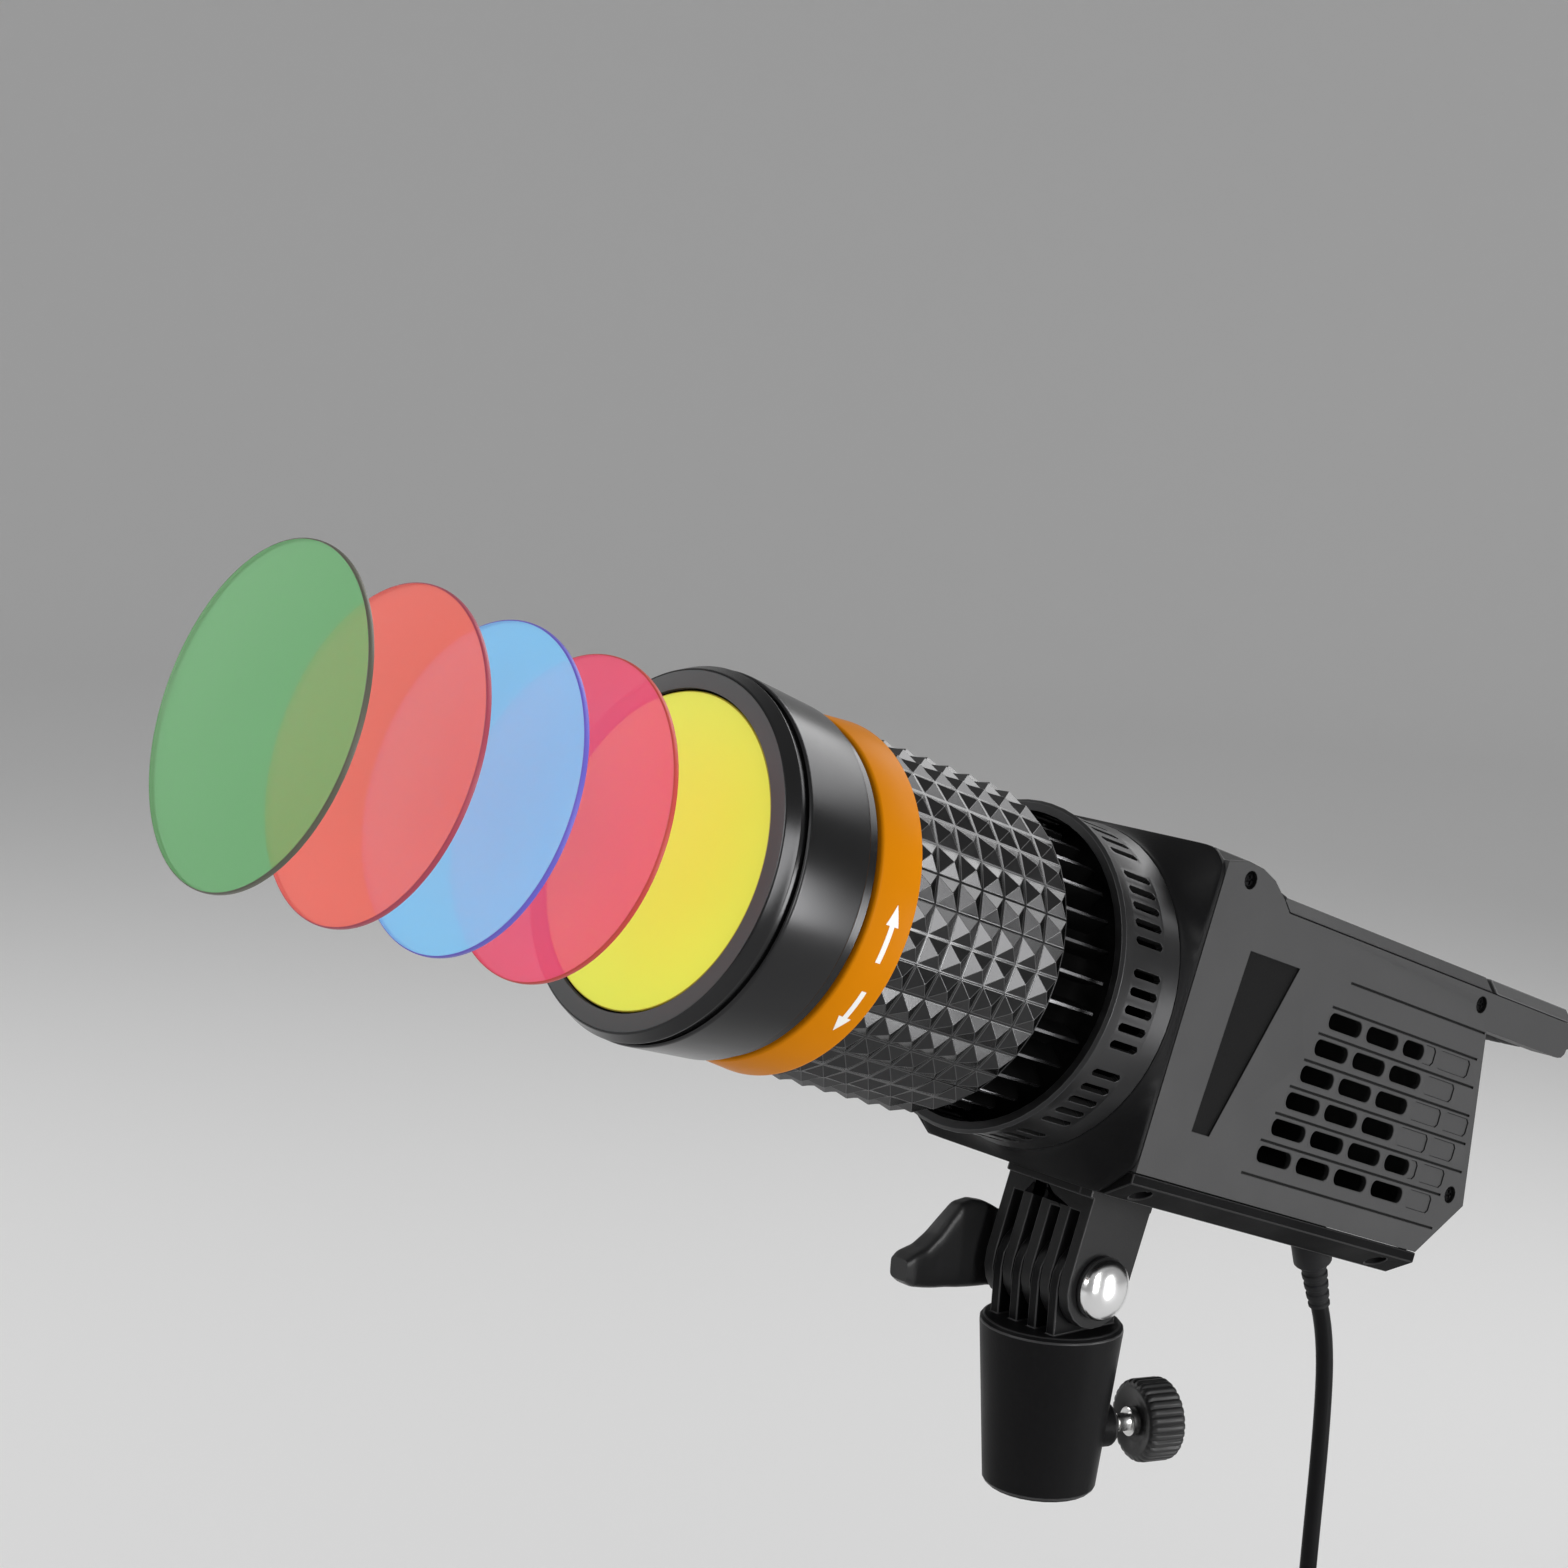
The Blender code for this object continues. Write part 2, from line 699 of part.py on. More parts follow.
ring_profile = [(ring_front, ring_inner), (ring_front, ring_front_radius - ring_edge),
                (ring_front + ring_edge, ring_front_radius), (ring_rear - ring_edge, ring_rear_radius),
                (ring_rear, ring_rear_radius - ring_edge), (ring_rear, ring_inner)]
piece("zoom_ring", turned(ring_profile, ring_sides), grip_frame, (0.72, 0.22, 0.012), 0.4)

# Lens barrel with the filter cell in its mouth
groove_floor = barrel_radius - barrel_groove_depth
groove_front = barrel_groove - barrel_groove_half
groove_rear = barrel_groove + barrel_groove_half
annulus_rear = barrel_front + annulus_depth
rebate = barrel_face_radius + part_gap
barrel_profile = [(barrel_front, rebate), (barrel_chamfer_end, barrel_radius - barrel_groove_half),
                  (groove_front, barrel_radius), (groove_front, groove_floor), (groove_rear, groove_floor),
                  (groove_rear, barrel_radius), (barrel_step - barrel_groove_half, barrel_step_radius),
                  (barrel_step, barrel_step_radius - barrel_groove_half), (barrel_step, barrel_lip_radius),
                  (barrel_rear, barrel_lip_radius), (barrel_rear, barrel_tube_radius),
                  (barrel_tube_rear, barrel_tube_radius), (barrel_tube_rear, barrel_tube_bore),
                  (cell_floor, barrel_tube_bore), (cell_floor, cell_radius), (annulus_rear, cell_radius),
                  (annulus_rear, rebate)]
piece("lens_barrel", turned(barrel_profile, barrel_sides), barrel_frame, body_black, 0.25, 0.4)
annulus_edge = annulus_seat / 4
annulus_back = annulus_rear - part_gap
annulus_profile = [(barrel_front, cell_radius), (barrel_front, barrel_face_radius - annulus_edge),
                   (barrel_front + annulus_edge, barrel_face_radius), (annulus_back, barrel_face_radius),
                   (annulus_back, cell_radius)]
piece("front_annulus", turned(annulus_profile, barrel_sides), barrel_frame, (0.075, 0.078, 0.082), 0.5)

lens_loops = []
for i in range(1, lens_steps + 1):
    share = i / lens_steps
    lens_loops.append(ring(lens_front + lens_bulge * share * share, lens_radius * share, lens_sides))
lens_rear = lens_front + lens_bulge + lens_edge
lens_loops.append(ring(lens_rear, lens_radius, lens_sides))
piece("condenser_lens", skin(lens_loops, False), barrel_frame, (0.85, 0.9, 0.92), 0.05)
retainer_front = lens_rear + part_gap
retainer_rear = retainer_front + retainer_length
retainer_profile = [(retainer_front, lens_radius), (retainer_front, retainer_inner),
                    (retainer_rear, retainer_inner), (retainer_rear, lens_radius)]
piece("lens_retainer", turned(retainer_profile, lens_sides), barrel_frame, soft_black, 0.4, 0.6)

# Colour filters, spread out along the lamp axis
filter_colours = {"filter_yellow": (0.85, 0.80, 0.10), "filter_pink": (0.88, 0.16, 0.22),
                  "filter_blue": (0.28, 0.45, 0.86), "filter_red": (0.85, 0.20, 0.18),
                  "filter_green": (0.22, 0.50, 0.24)}
for filter_name, front in filter_fronts:
    filter_y = front * mm
    filter_frame = frame(filter_name + "_frame", lamp, (0, filter_y, 0))
    filter_profile = [(0, filter_radius - filter_edge), (filter_edge, filter_radius),
                      (filter_thickness, filter_radius)]
    piece(filter_name, turned(filter_profile, filter_sides, False), filter_frame, filter_colours[filter_name],
          0.15)


# Side panels with vents, recess, grooves and screw pockets, mirrored left and right
def rear_edge(z):
    """Where the canted rear edge of the panels lies at one height."""
    share = (bar_underside - z) / (bar_underside - rear_low_z)
    return rear_top_y + (rear_low_y - rear_top_y) * share


def prism(outline, side, depth, work):
    """A cutter that reaches the given depth into a side panel from outside."""
    outer = side * (housing_half_width + panel_edge)
    inner = side * (housing_half_width - depth)
    return extruded(outline, along_x, min(outer, inner), max(outer, inner), work)


def vent_outline(start, end, height):
    """A vent with its corners cut, between two places along the panel."""
    return cornered((end - start) / 2, vent_height / 2, vent_corner_share, ((start + end) / 2, height))


bar_corner_y = bar_end - bar_end_radius
panel_outline = [(part_gap, panel_bottom), (part_gap, panel_front_top), *in_mm(ear_points),
                 *arc((bar_corner_y, panel_top - bar_end_radius), bar_end_radius, math.pi / 2, 0,
                      bar_corner_steps),
                 *arc((bar_corner_y, bar_underside + bar_end_radius / 2), bar_end_radius / 2, 0,
                      -math.pi / 2, bar_corner_steps - 1),
                 (rear_top_y, bar_underside), (rear_low_y, rear_low_z), (rear_foot_y, panel_bottom)]
through = panel_thickness + panel_edge
louvre_line = louvre_height / 2
for side, label in ((1, "right"), (-1, "left")):
    inner_face = side * (housing_half_width - panel_thickness)
    outer_face = side * housing_half_width
    panel = piece("side_panel_" + label, extruded(panel_outline, along_x, inner_face, outer_face), lamp,
                  panel_grey, 0.5)
    cuts = bmesh.new()
    blinds = bmesh.new()
    for row in range(vent_rows):
        row_z = vent_first_z - vent_row_pitch * row
        row_y = vent_first_y - vent_row_shift * row
        for column in range(vent_counts[row]):
            start = row_y + vent_pitch * column
            closed = part_closed.get((row, column), 0) * mm
            prism(vent_outline(start, start + vent_length - closed, row_z), side, through, cuts)
            if closed:
                prism(vent_outline(start, start + vent_length, row_z), side, blind_depth, blinds)
        start = row_y + vent_pitch * vent_counts[row]
        for end in in_mm([blind_ends[row]])[0]:
            prism(vent_outline(start, end, row_z), side, blind_depth, blinds)
            start = end + blind_gap
        line_z = row_z + louvre_rise
        line_end = min(rear_edge(line_z) - louvre_end_gap, louvre_limits[row] * mm)
        line = [(row_y, line_z - louvre_line), (line_end, line_z - louvre_line),
                (line_end, line_z + louvre_line), (row_y, line_z + louvre_line)]
        prism(line, side, louvre_depth, cuts)
    for start, height, end in in_mm(groove_lines):
        line = [(start, height - louvre_line), (end, height - louvre_line), (end, height + louvre_line),
                (start, height + louvre_line)]
        prism(line, side, louvre_depth, cuts)
    prism(in_mm(recess_points), side, recess_depth, cuts)
    for middle in in_mm(panel_screws):
        pocket_outline = arc(middle, screw_pocket_radius, 0, full_turn, pocket_sides)[:-1]
        prism(pocket_outline, side, screw_head_length + part_gap, cuts)
    combine(panel, helper("panel_blinds_" + label, blinds, lamp), "DIFFERENCE")
    combine(panel, helper("panel_cuts_" + label, cuts, lamp), "DIFFERENCE")
    for index, (screw_y, screw_z) in enumerate(in_mm(panel_screws)):
        seat = side * (housing_half_width - screw_head_length)
        crown = side * (housing_half_width - panel_edge)
        screw_profile = [(min(seat, crown), screw_head_radius), (max(seat, crown), screw_head_radius)]
        screw = turned(screw_profile, screw_sides, False)
        turn_mesh(screw, Matrix.Translation((0, screw_y, screw_z)) @ Matrix.Rotation(-math.pi / 2, 4, "Z"))
        piece("panel_screw_" + label + "_" + str(index + 1), screw, lamp, (0.01, 0.01, 0.01), 0.4, 0.7)

# Top cover with chamfered edges, and the tray below with a chamfer on each side
cover_low = housing_top - cover_depth
cover_side = housing_half_width - panel_thickness - part_gap
cover_shoulder = panel_top + part_gap
cover_half = [(housing_half_width, cover_shoulder), (housing_half_width - cover_chamfer, housing_top)]
cover_outline = [(cover_side, cover_low), (cover_side, cover_shoulder), *cover_half]
cover_outline += [(-x, z) for x, z in reversed(cover_outline)]
cover_front = in_mm(ear_points)[-1][0] + part_gap
cover_rear = rear_top_y - rear_wall
piece("top_cover", extruded(cover_outline, along_y, cover_front, cover_rear), lamp, panel_grey, 0.5)
hood_top = shell_top - part_gap
hood_side = [(cover_side, cover_low), (cover_side, panel_front_top), (cover_side - cover_chamfer, hood_top)]
hood_outline = [*hood_side, *[(-x, z) for x, z in reversed(hood_side)]]
hood_low = [(x, min(z, housing_top)) for x, z in hood_outline]
hood_middle = (cover_front + part_gap) / 2
hood_rows = [[(x, part_gap, z) for x, z in hood_outline], [(x, hood_middle, z) for x, z in hood_outline],
             [(x, cover_front - part_gap, z) for x, z in hood_low]]
piece("front_hood", skin(hood_rows, False), lamp, body_black, 0.42)

tray_top = panel_bottom - part_gap
tray_side = housing_half_width - panel_edge
tray_shoulder = tray_top - tray_rim
tray_outer = [(tray_side, tray_top), (tray_side, tray_shoulder), (tray_half_width, housing_bottom)]
tray_inner = [(tray_half_width - tray_wall, housing_bottom + tray_wall),
              (tray_side - tray_wall - tray_rim / 2, tray_top)]
tray_outline = [*tray_outer, *[(-x, z) for x, z in reversed(tray_outer)],
                *[(-x, z) for x, z in reversed(tray_inner)], *tray_inner]
tray = piece("bottom_tray", extruded(tray_outline, along_y, part_gap, tray_rear), lamp, soft_black, 0.55)
gland_turn = Matrix.Rotation(gland_lean - math.pi / 2, 4, "X")
gland_place = Matrix.Translation((gland_x, gland_y, housing_bottom)) @ gland_turn
hole_radius = gland_base_radius + part_gap
gland_hole = turned([(-hole_radius, hole_radius), (hole_radius, hole_radius)], bore_sides, False)
combine(tray, helper("gland_hole", turn_mesh(gland_hole, gland_place), lamp), "DIFFERENCE")

# Tray screws in round pockets that open on the tray's chamfers
pockets = bmesh.new()
for index, (x, y) in enumerate(in_mm(tray_screws)):
    pocket_rows = arc((x, y), tray_pocket_radius, 0, full_turn, pocket_sides)[:-1]
    extruded(pocket_rows, along_z, housing_bottom - tray_wall, tray_pocket_floor, pockets)
    screw_rows = arc((x, y), tray_screw_radius, 0, full_turn, screw_sides)[:-1]
    screw_top = tray_pocket_floor - part_gap
    screw = extruded(screw_rows, along_z, screw_top - tray_screw_height, screw_top)
    piece("tray_screw_" + str(index + 1), screw, lamp, (0.01, 0.01, 0.01), 0.4, 0.7)
combine(tray, helper("tray_pockets", pockets, lamp), "DIFFERENCE")

# Rear panel: a canted plate between the side panels
rear_points = [(cover_rear, cover_low - part_gap), (rear_top_y - rear_inset, bar_underside),
               (rear_low_y - rear_inset, rear_low_z), (rear_foot_y - rear_inset, tray_top)]
rear_inner = [(y - rear_wall, z) for y, z in reversed(rear_points)]
plate_half = cover_side
rear_plate = extruded(rear_points + rear_inner, along_x, -plate_half, plate_half)
piece("rear_panel", rear_plate, lamp, soft_black, 0.5)

cant = math.atan2(rear_low_y - rear_top_y, bar_underside - rear_low_z)
control_y = rear_edge(control_height) - rear_inset
rear_controls = frame("rear_controls", lamp, (0, control_y, control_height), (cant, 0, 0))
dial_frame = frame("dial_frame", rear_controls, (dial_x, 0, 0))
rocker_frame = frame("rocker_frame", rear_controls, (rocker_x, rocker_rim_height + part_gap, 0))


def fluted(profile, ribs, depth):
    """A turned body whose rim is cut by shallow flutes; profile rows are (y, radius, share of the depth)."""
    loops = []
    for y, radius, share in profile:
        loop = []
        for i in range(ribs * 3):
            radius_here = radius - (depth * share if i % 3 == 0 else 0)
            loop.append(on_ring(full_turn * i / (ribs * 3), y, radius_here))
        loops.append(loop)
    return loops


dial_rows = [(part_gap, dial_radius, 1), (dial_length - dial_edge, dial_radius, 1),
             (dial_length, dial_radius - dial_edge, 0)]
dial_mesh = skin(fluted(dial_rows, dial_flutes, dial_flute_depth), False)
piece("dimmer_knob", dial_mesh, dial_frame, body_black, 0.45)
rocker_hole = (rocker_half[0] * mm, rocker_half[1] * mm)
rim_middle = (rocker_x, 0)
rim_outer = cornered(rocker_hole[0] + rocker_rim, rocker_hole[1] + rocker_rim, rim_corner_share, rim_middle)
rim_inner = cornered(rocker_hole[0] + part_gap, rocker_hole[1] + part_gap, rim_inner_share, rim_middle)
rim_loops = [[(x, y, z) for x, z in outline] for y, outline in
             ((part_gap, rim_outer), (rocker_rim_height, rim_outer), (rocker_rim_height, rim_inner),
              (part_gap, rim_inner))]
piece("rocker_rim", skin(rim_loops), rear_controls, soft_black, 0.5)
rocker_u = rocker_hole[0] - part_gap
rocker_v = rocker_hole[1] - part_gap
rocker_low = part_gap
rocker_side = [(-rocker_u, rocker_low), (rocker_u, rocker_low), (rocker_u, rocker_crown + rocker_rim_height),
               (0, rocker_rim_height), (-rocker_u, rocker_crown)]
piece("power_rocker", extruded(rocker_side, along_z, -rocker_v, rocker_v), rocker_frame, soft_black, 0.35)
window_z = window_height
window_low = (-window_half[0] * mm, part_gap, window_z - window_half[1] * mm)
window_high = (window_half[0] * mm, window_thickness, window_z + window_half[1] * mm)
piece("display_window", block(window_low, window_high), rear_controls, (0.01, 0.012, 0.016), 0.12)

# Rear handle: an arm behind each side of the cover and a round grip bar between them
arm_front = rear_top_y + part_gap
arm_inner = cover_side - arm_thickness
arm_low = bar_underside + part_gap
arm_profile = [(arm_inner, arm_low), (cover_side, arm_low), (cover_side, cover_shoulder), *cover_half,
               (arm_inner, housing_top)]
arm_rear = bar_end - cover_chamfer
for side, label in ((1, "right"), (-1, "left")):
    outline = [(side * x, z) for x, z in arm_profile]
    piece("handle_arm_" + label, extruded(outline, along_y, arm_front, arm_rear), lamp, panel_grey, 0.5)
bar_half = arm_inner - part_gap
bar_profile = []
for i in range(handle_rings):
    share = 2 * i / (handle_rings - 1) - 1
    bar_profile.append((bar_half * share, handle_radius + handle_swell * (1 - share * share)))
bar_work = turned(bar_profile, small_sides, False)
turn_mesh(bar_work, Matrix.Translation((0, handle_y, handle_z)) @ Matrix.Rotation(-math.pi / 2, 4, "Z"))
piece("handle_bar", bar_work, lamp, soft_black, 0.8)

# Fan behind the drum: a square frame and a rotor whose blades grow from its hub

def square_loop(y):
    return [on_ring(full_turn * i / fan_sides, y, fan_half / max(abs(math.cos(full_turn * i / fan_sides)),
            abs(math.sin(full_turn * i / fan_sides)))) for i in range(fan_sides)]


fan_rear = fan_front + fan_depth
fan_loops = [square_loop(fan_front), square_loop(fan_rear), ring(fan_rear, fan_bore, fan_sides),
             ring(fan_front, fan_bore, fan_sides)]
fan = piece("fan_frame", skin(fan_loops), lamp, body_black, 0.5)
spoke_low = (-fan_bore - fan_spoke, fan_rear - fan_spoke, -fan_spoke_half)
spoke_high = (fan_bore + fan_spoke, fan_rear - fan_spoke_recess, fan_spoke_half)
combine(fan, helper("fan_spoke", block(spoke_low, spoke_high), lamp), "UNION")
centre_profile = [(fan_rear - fan_spoke - part_gap, fan_centre_radius),
                  (fan_rear - fan_spoke_recess / 2, fan_centre_radius)]
combine(fan, helper("fan_centre", turned(centre_profile, bore_sides, False), lamp), "UNION")
fan_axis = frame("fan_axis", lamp, (0, fan_front + fan_depth / 2, 0))
hub_half = fan_depth / 2 - fan_spoke - 2 * part_gap
rotor = turned([(-hub_half, fan_hub_radius), (hub_half, fan_hub_radius)], fan_blades * 4, False)
rotor.faces.ensure_lookup_table()
hub_faces = [face for face in rotor.faces if len(face.verts) == 4]
for face in hub_faces[::4]:
    middle = face.calc_center_median()
    outward = Vector((middle.x, 0, middle.z)).normalized()
    grown = bmesh.ops.extrude_discrete_faces(rotor, faces=[face])["faces"][0]
    centre = outward * fan_blade_radius
    for vert in grown.verts:
        offset = vert.co - middle
        vert.co = centre + Matrix.Rotation(fan_twist, 3, outward) @ offset
piece("fan_rotor", rotor, fan_axis, soft_black, 0.5)

# Driver board: a plate with its tall components
driver_low = (-driver_half[0] * mm, driver_middle_y - driver_half[1] * mm, driver_z)
driver_high = (driver_half[0] * mm, driver_middle_y + driver_half[1] * mm, driver_z + driver_thickness)
driver = piece("driver_board", block(driver_low, driver_high), lamp, (0.03, 0.14, 0.06), 0.5)
components = bmesh.new()
for x, y, half_x, half_y, height in in_mm(driver_blocks):
    low = (x - half_x, driver_middle_y + y - half_y, driver_z + driver_thickness / 2)
    high = (x + half_x, driver_middle_y + y + half_y, driver_z + driver_thickness + height)
    block(low, high, components)
for x, y in in_mm(driver_legs):
    leg_y = driver_middle_y + y
    block((x - driver_leg_half, leg_y - driver_leg_half, housing_bottom + tray_wall + part_gap),
          (x + driver_leg_half, leg_y + driver_leg_half, driver_z + driver_thickness / 2), components)
combine(driver, helper("driver_components", components, lamp), "UNION")


# Head bracket: a flange under the tray and five tines round the hinge bolt
def tine_middles(count, pitch):
    return [(i - (count - 1) / 2) * pitch for i in range(count)]


def tine_outline(low_y, high_y, top):
    """Side view of a tine hanging from its root and rounded about the hinge."""
    rounding = arc((0, 0), tine_reach, 0, -math.pi, tine_steps)
    return [(high_y, top), *rounding, (low_y, top)]


tine_pitch = head_tine_width + tine_slot_width
bracket_top = axis_above_hinge + housing_bottom - part_gap
flange_low = bracket_top - flange_thickness
bracket_near = bracket_front - hinge_behind_front
bracket_far = bracket_rear - hinge_behind_front
bracket_mesh = extruded(tine_outline(bracket_near, bracket_far, bracket_top - flange_thickness / 2), along_x,
                        -tine_stack / 2, tine_stack / 2)
bracket = piece("head_bracket", bracket_mesh, hinge, (0.03, 0.03, 0.032), 0.45, 0.3)
flange_near = flange_front - hinge_behind_front
flange_far = flange_rear - hinge_behind_front
flange_middle = (0, (flange_near + flange_far) / 2)
flange_outline = cornered(tine_stack / 2, (flange_far - flange_near) / 2, flange_corner_share, flange_middle)
flange = helper("bracket_flange", extruded(flange_outline, along_z, flange_low, bracket_top), hinge)
combine(bracket, flange, "UNION")
slots = bmesh.new()
for x, top in zip(tine_middles(head_tine_count - 1, tine_pitch), reversed(slot_tops)):
    block((x - tine_slot_width / 2, flange_near - tine_edge, -tine_reach - tine_end_gap),
          (x + tine_slot_width / 2, flange_far + tine_edge, top * mm), slots)
combine(bracket, helper("bracket_slots", slots, hinge), "DIFFERENCE")
bore_length = tine_stack / 2 + tine_edge
bore_profile = [(-bore_length, tine_bore_radius), (bore_length, tine_bore_radius)]
bracket_bore = turned(bore_profile, bore_sides, False)
turn_mesh(bracket_bore, Matrix.Rotation(-math.pi / 2, 4, "Z"))
combine(bracket, helper("bracket_bore", bracket_bore, hinge), "DIFFERENCE")

# Hinge bolt with a domed head, its washer, and the clamping lever on the other side
washer_x = tine_stack / 2 + part_gap
head_x = washer_x + washer_thickness + part_gap
dome = [(bolt_head_height * math.sin(angle * degree), bolt_head_radius * math.cos(angle * degree))
        for angle in (18, 36, 54, 72, 85)]
bolt_profile = [(-bolt_tail + part_gap, bolt_radius), (head_x, bolt_radius), (head_x, bolt_head_radius),
                (head_x + bolt_rim, bolt_head_radius)]
bolt_profile += [(head_x + bolt_rim + y, radius) for y, radius in dome]
bolt_work = turned(bolt_profile, bolt_sides, False)
turn_mesh(bolt_work, Matrix.Rotation(-math.pi / 2, 4, "Z"))
piece("hinge_bolt", bolt_work, hinge, (0.8, 0.8, 0.8), 0.12, 1.0)
washer_outer_x = washer_x + washer_thickness
washer_profile = [(washer_x, tine_bore_radius), (washer_x, washer_radius), (washer_outer_x, washer_radius),
                  (washer_outer_x, tine_bore_radius)]
washer_work = turned(washer_profile, small_sides)
turn_mesh(washer_work, Matrix.Rotation(-math.pi / 2, 4, "Z"))
piece("hinge_washer", washer_work, hinge, (0.02, 0.02, 0.02), 0.5, 0.5)

lever_loops = []
for forward, top, bottom, inner, outer in in_mm(lever_sections):
    depth = (outer - inner) / 2
    height = (top - bottom) / 2
    middle = (-(outer + inner) / 2, (top + bottom) / 2)
    share = min(lever_bevel_share, lever_bevel / min(depth, height))
    lever_loops.append([(x, -forward, z) for x, z in cornered(depth, height, share, middle)])
piece("lock_lever", skin(lever_loops, False), level, soft_black, 0.42)

# Stand socket: a tapered cup with four tines on its rim and a boss for the clamp screw
socket_profile = [(socket_bore_depth, socket_bore_radius), (socket_bore_lead, socket_bore_radius),
                  (0, socket_bore_radius + socket_bore_lead), (0, socket_mouth_radius - socket_edge),
                  (socket_edge, socket_mouth_radius), (socket_height - socket_edge, socket_rim_radius),
                  (socket_height, socket_rim_radius - socket_edge)]
upright = Matrix.Rotation(math.pi / 2, 4, "X")
socket_work = turn_mesh(turned(socket_profile, socket_sides, False), upright)
socket = piece("stand_socket", socket_work, stand, (0.025, 0.025, 0.027), 0.45, 0.3)
tine_work = bmesh.new()
socket_tine_half = tine_slot_width / 2 - tine_side_gap
tine_root = socket_height - tine_end_gap
for x in tine_middles(head_tine_count - 1, tine_pitch):
    rounding = arc((0, hinge_height), tine_reach, 0, math.pi, tine_steps)
    outline = [(tine_reach, tine_root), *rounding, (-tine_reach, tine_root)]
    extruded(outline, along_x, x - socket_tine_half, x + socket_tine_half, tine_work)
combine(socket, helper("socket_tines", tine_work, stand), "UNION")
boss_start = socket_bore_radius + tine_end_gap
boss_work = turned([(boss_start, boss_radius), (boss_reach - boss_edge, boss_radius),
                    (boss_reach, boss_radius - boss_edge)], boss_sides, False)
combine(socket, helper("socket_boss", boss_work, screw_frame), "UNION")
screw_hole_radius = screw_radius + screw_hole_gap
hole_end = boss_reach + boss_edge
hole_work = turned([(0, screw_hole_radius), (hole_end, screw_hole_radius)], small_sides, False)
combine(socket, helper("screw_hole", hole_work, screw_frame), "DIFFERENCE")
socket_bore = turned(bore_profile, bore_sides, False)
turn_mesh(socket_bore, Matrix.Translation((0, 0, hinge_height)) @ Matrix.Rotation(-math.pi / 2, 4, "Z"))
combine(socket, helper("socket_tine_bore", socket_bore, stand), "DIFFERENCE")

# Clamp screw: pressure pad, stud and ribbed knob on one line through the boss
pad_end = pad_seat + pad_length
pad_work = turned([(pad_seat, pad_radius), (pad_end, pad_radius)], small_sides, False)
piece("clamp_pad", pad_work, screw_frame, (0.7, 0.55, 0.25), 0.35, 1.0)
stud_end = knob_start + knob_dish - part_gap
stud_profile = [(screw_tip, screw_radius), (stud_end - screw_collar_length, screw_radius),
                (stud_end - screw_collar_length, screw_collar_radius), (stud_end, screw_collar_radius)]
piece("clamp_stud", turned(stud_profile, small_sides, False), screw_frame, (0.75, 0.75, 0.75), 0.2, 1.0)
knob_end = knob_start + knob_length
knob_face_radius = knob_radius - knob_edge * 2
knob_rows = [(knob_start + knob_dish, knob_hub_radius, 0), (knob_start, knob_face_radius, 0),
             (knob_start + knob_edge / 2, knob_radius - knob_edge / 2, 1),
             (knob_start + knob_edge * 2, knob_radius, 1), (knob_end - knob_edge * 2, knob_radius, 1),
             (knob_end, knob_face_radius, 0), (knob_end - knob_dish / 2, knob_hub_radius, 0)]
knob_mesh = skin(fluted(knob_rows, knob_rib_count, knob_rib_depth), False)
piece("clamp_knob", knob_mesh, screw_frame, body_black, 0.5)

# Cord gland with its tapered strain relief, leaning back from the tray
relief_start = gland_outside + gland_shoulder
relief_end = relief_start + relief_length
gland_profile = [(-gland_inside, gland_base_radius), (gland_outside, gland_base_radius),
                 (relief_start, relief_base_radius)]
for i in range(relief_rings):
    radius = relief_base_radius + (relief_tip_radius - relief_base_radius) * (i + 1) / (relief_rings + 1)
    start = relief_start + relief_length * (i + 0.5) / (relief_rings + 1)
    stop = relief_start + relief_length * (i + 1) / (relief_rings + 1)
    low_radius = radius - relief_ring_depth
    gland_profile += [(start, radius), (start, low_radius), (stop, low_radius), (stop, radius)]
gland_profile.append((relief_end, relief_tip_radius))
piece("cord_gland", turn_mesh(turned(gland_profile, gland_sides, False), gland_place), lamp, body_black, 0.6)


def smooth_path(points, spacing):
    """Points at an even spacing along a smooth curve through the given points."""
    ends = [points[0] * 2 - points[1], *points, points[-1] * 2 - points[-2]]
    fine = []
    for before, start, end, beyond in zip(ends, ends[1:], ends[2:], ends[3:]):
        for i in range(points_per_turn):
            t = i / points_per_turn
            second = before * 2 - start * 5 + end * 4 - beyond
            third = start * 3 - before - end * 3 + beyond
            fine.append(start + (end - before) * (t / 2) + second * (t * t / 2) + third * (t ** 3 / 2))
    fine.append(points[-1])
    lengths = [0.0]
    for start, end in zip(fine, fine[1:]):
        lengths.append(lengths[-1] + (end - start).length)
    count = max(2, round(lengths[-1] / spacing))
    even = []
    at = 0
    for i in range(count + 1):
        wanted = lengths[-1] * i / count
        while at < len(fine) - 2 and lengths[at + 1] < wanted:
            at += 1
        part = (wanted - lengths[at]) / (lengths[at + 1] - lengths[at])
        even.append(fine[at].lerp(fine[at + 1], part))
    return even


def tube(name, points, detail):
    """One unbroken round tube along the points, with closed ends."""
    line = bpy.data.curves.new(name, "CURVE")
    line.dimensions = "3D"
    line.bevel_depth = cord_radius
    line.bevel_resolution = detail
    line.use_fill_caps = True
    spline = line.splines.new("POLY")
    spline.points.add(len(points) - 1)
    for target, point in zip(spline.points, points):
        target.co = (*point, 1)
    line.materials.append(look(name + "_look", soft_black, 0.6))
    made = bpy.data.objects.new(name, line)
    bpy.context.collection.objects.link(made)
    made.parent = level
    return made


def eased(value, start, end):
    """Rises smoothly from 0 to 1 between two values."""
    share = min(1, max(0, (value - start) / (end - start)))
    return share * share * (3 - 2 * share)


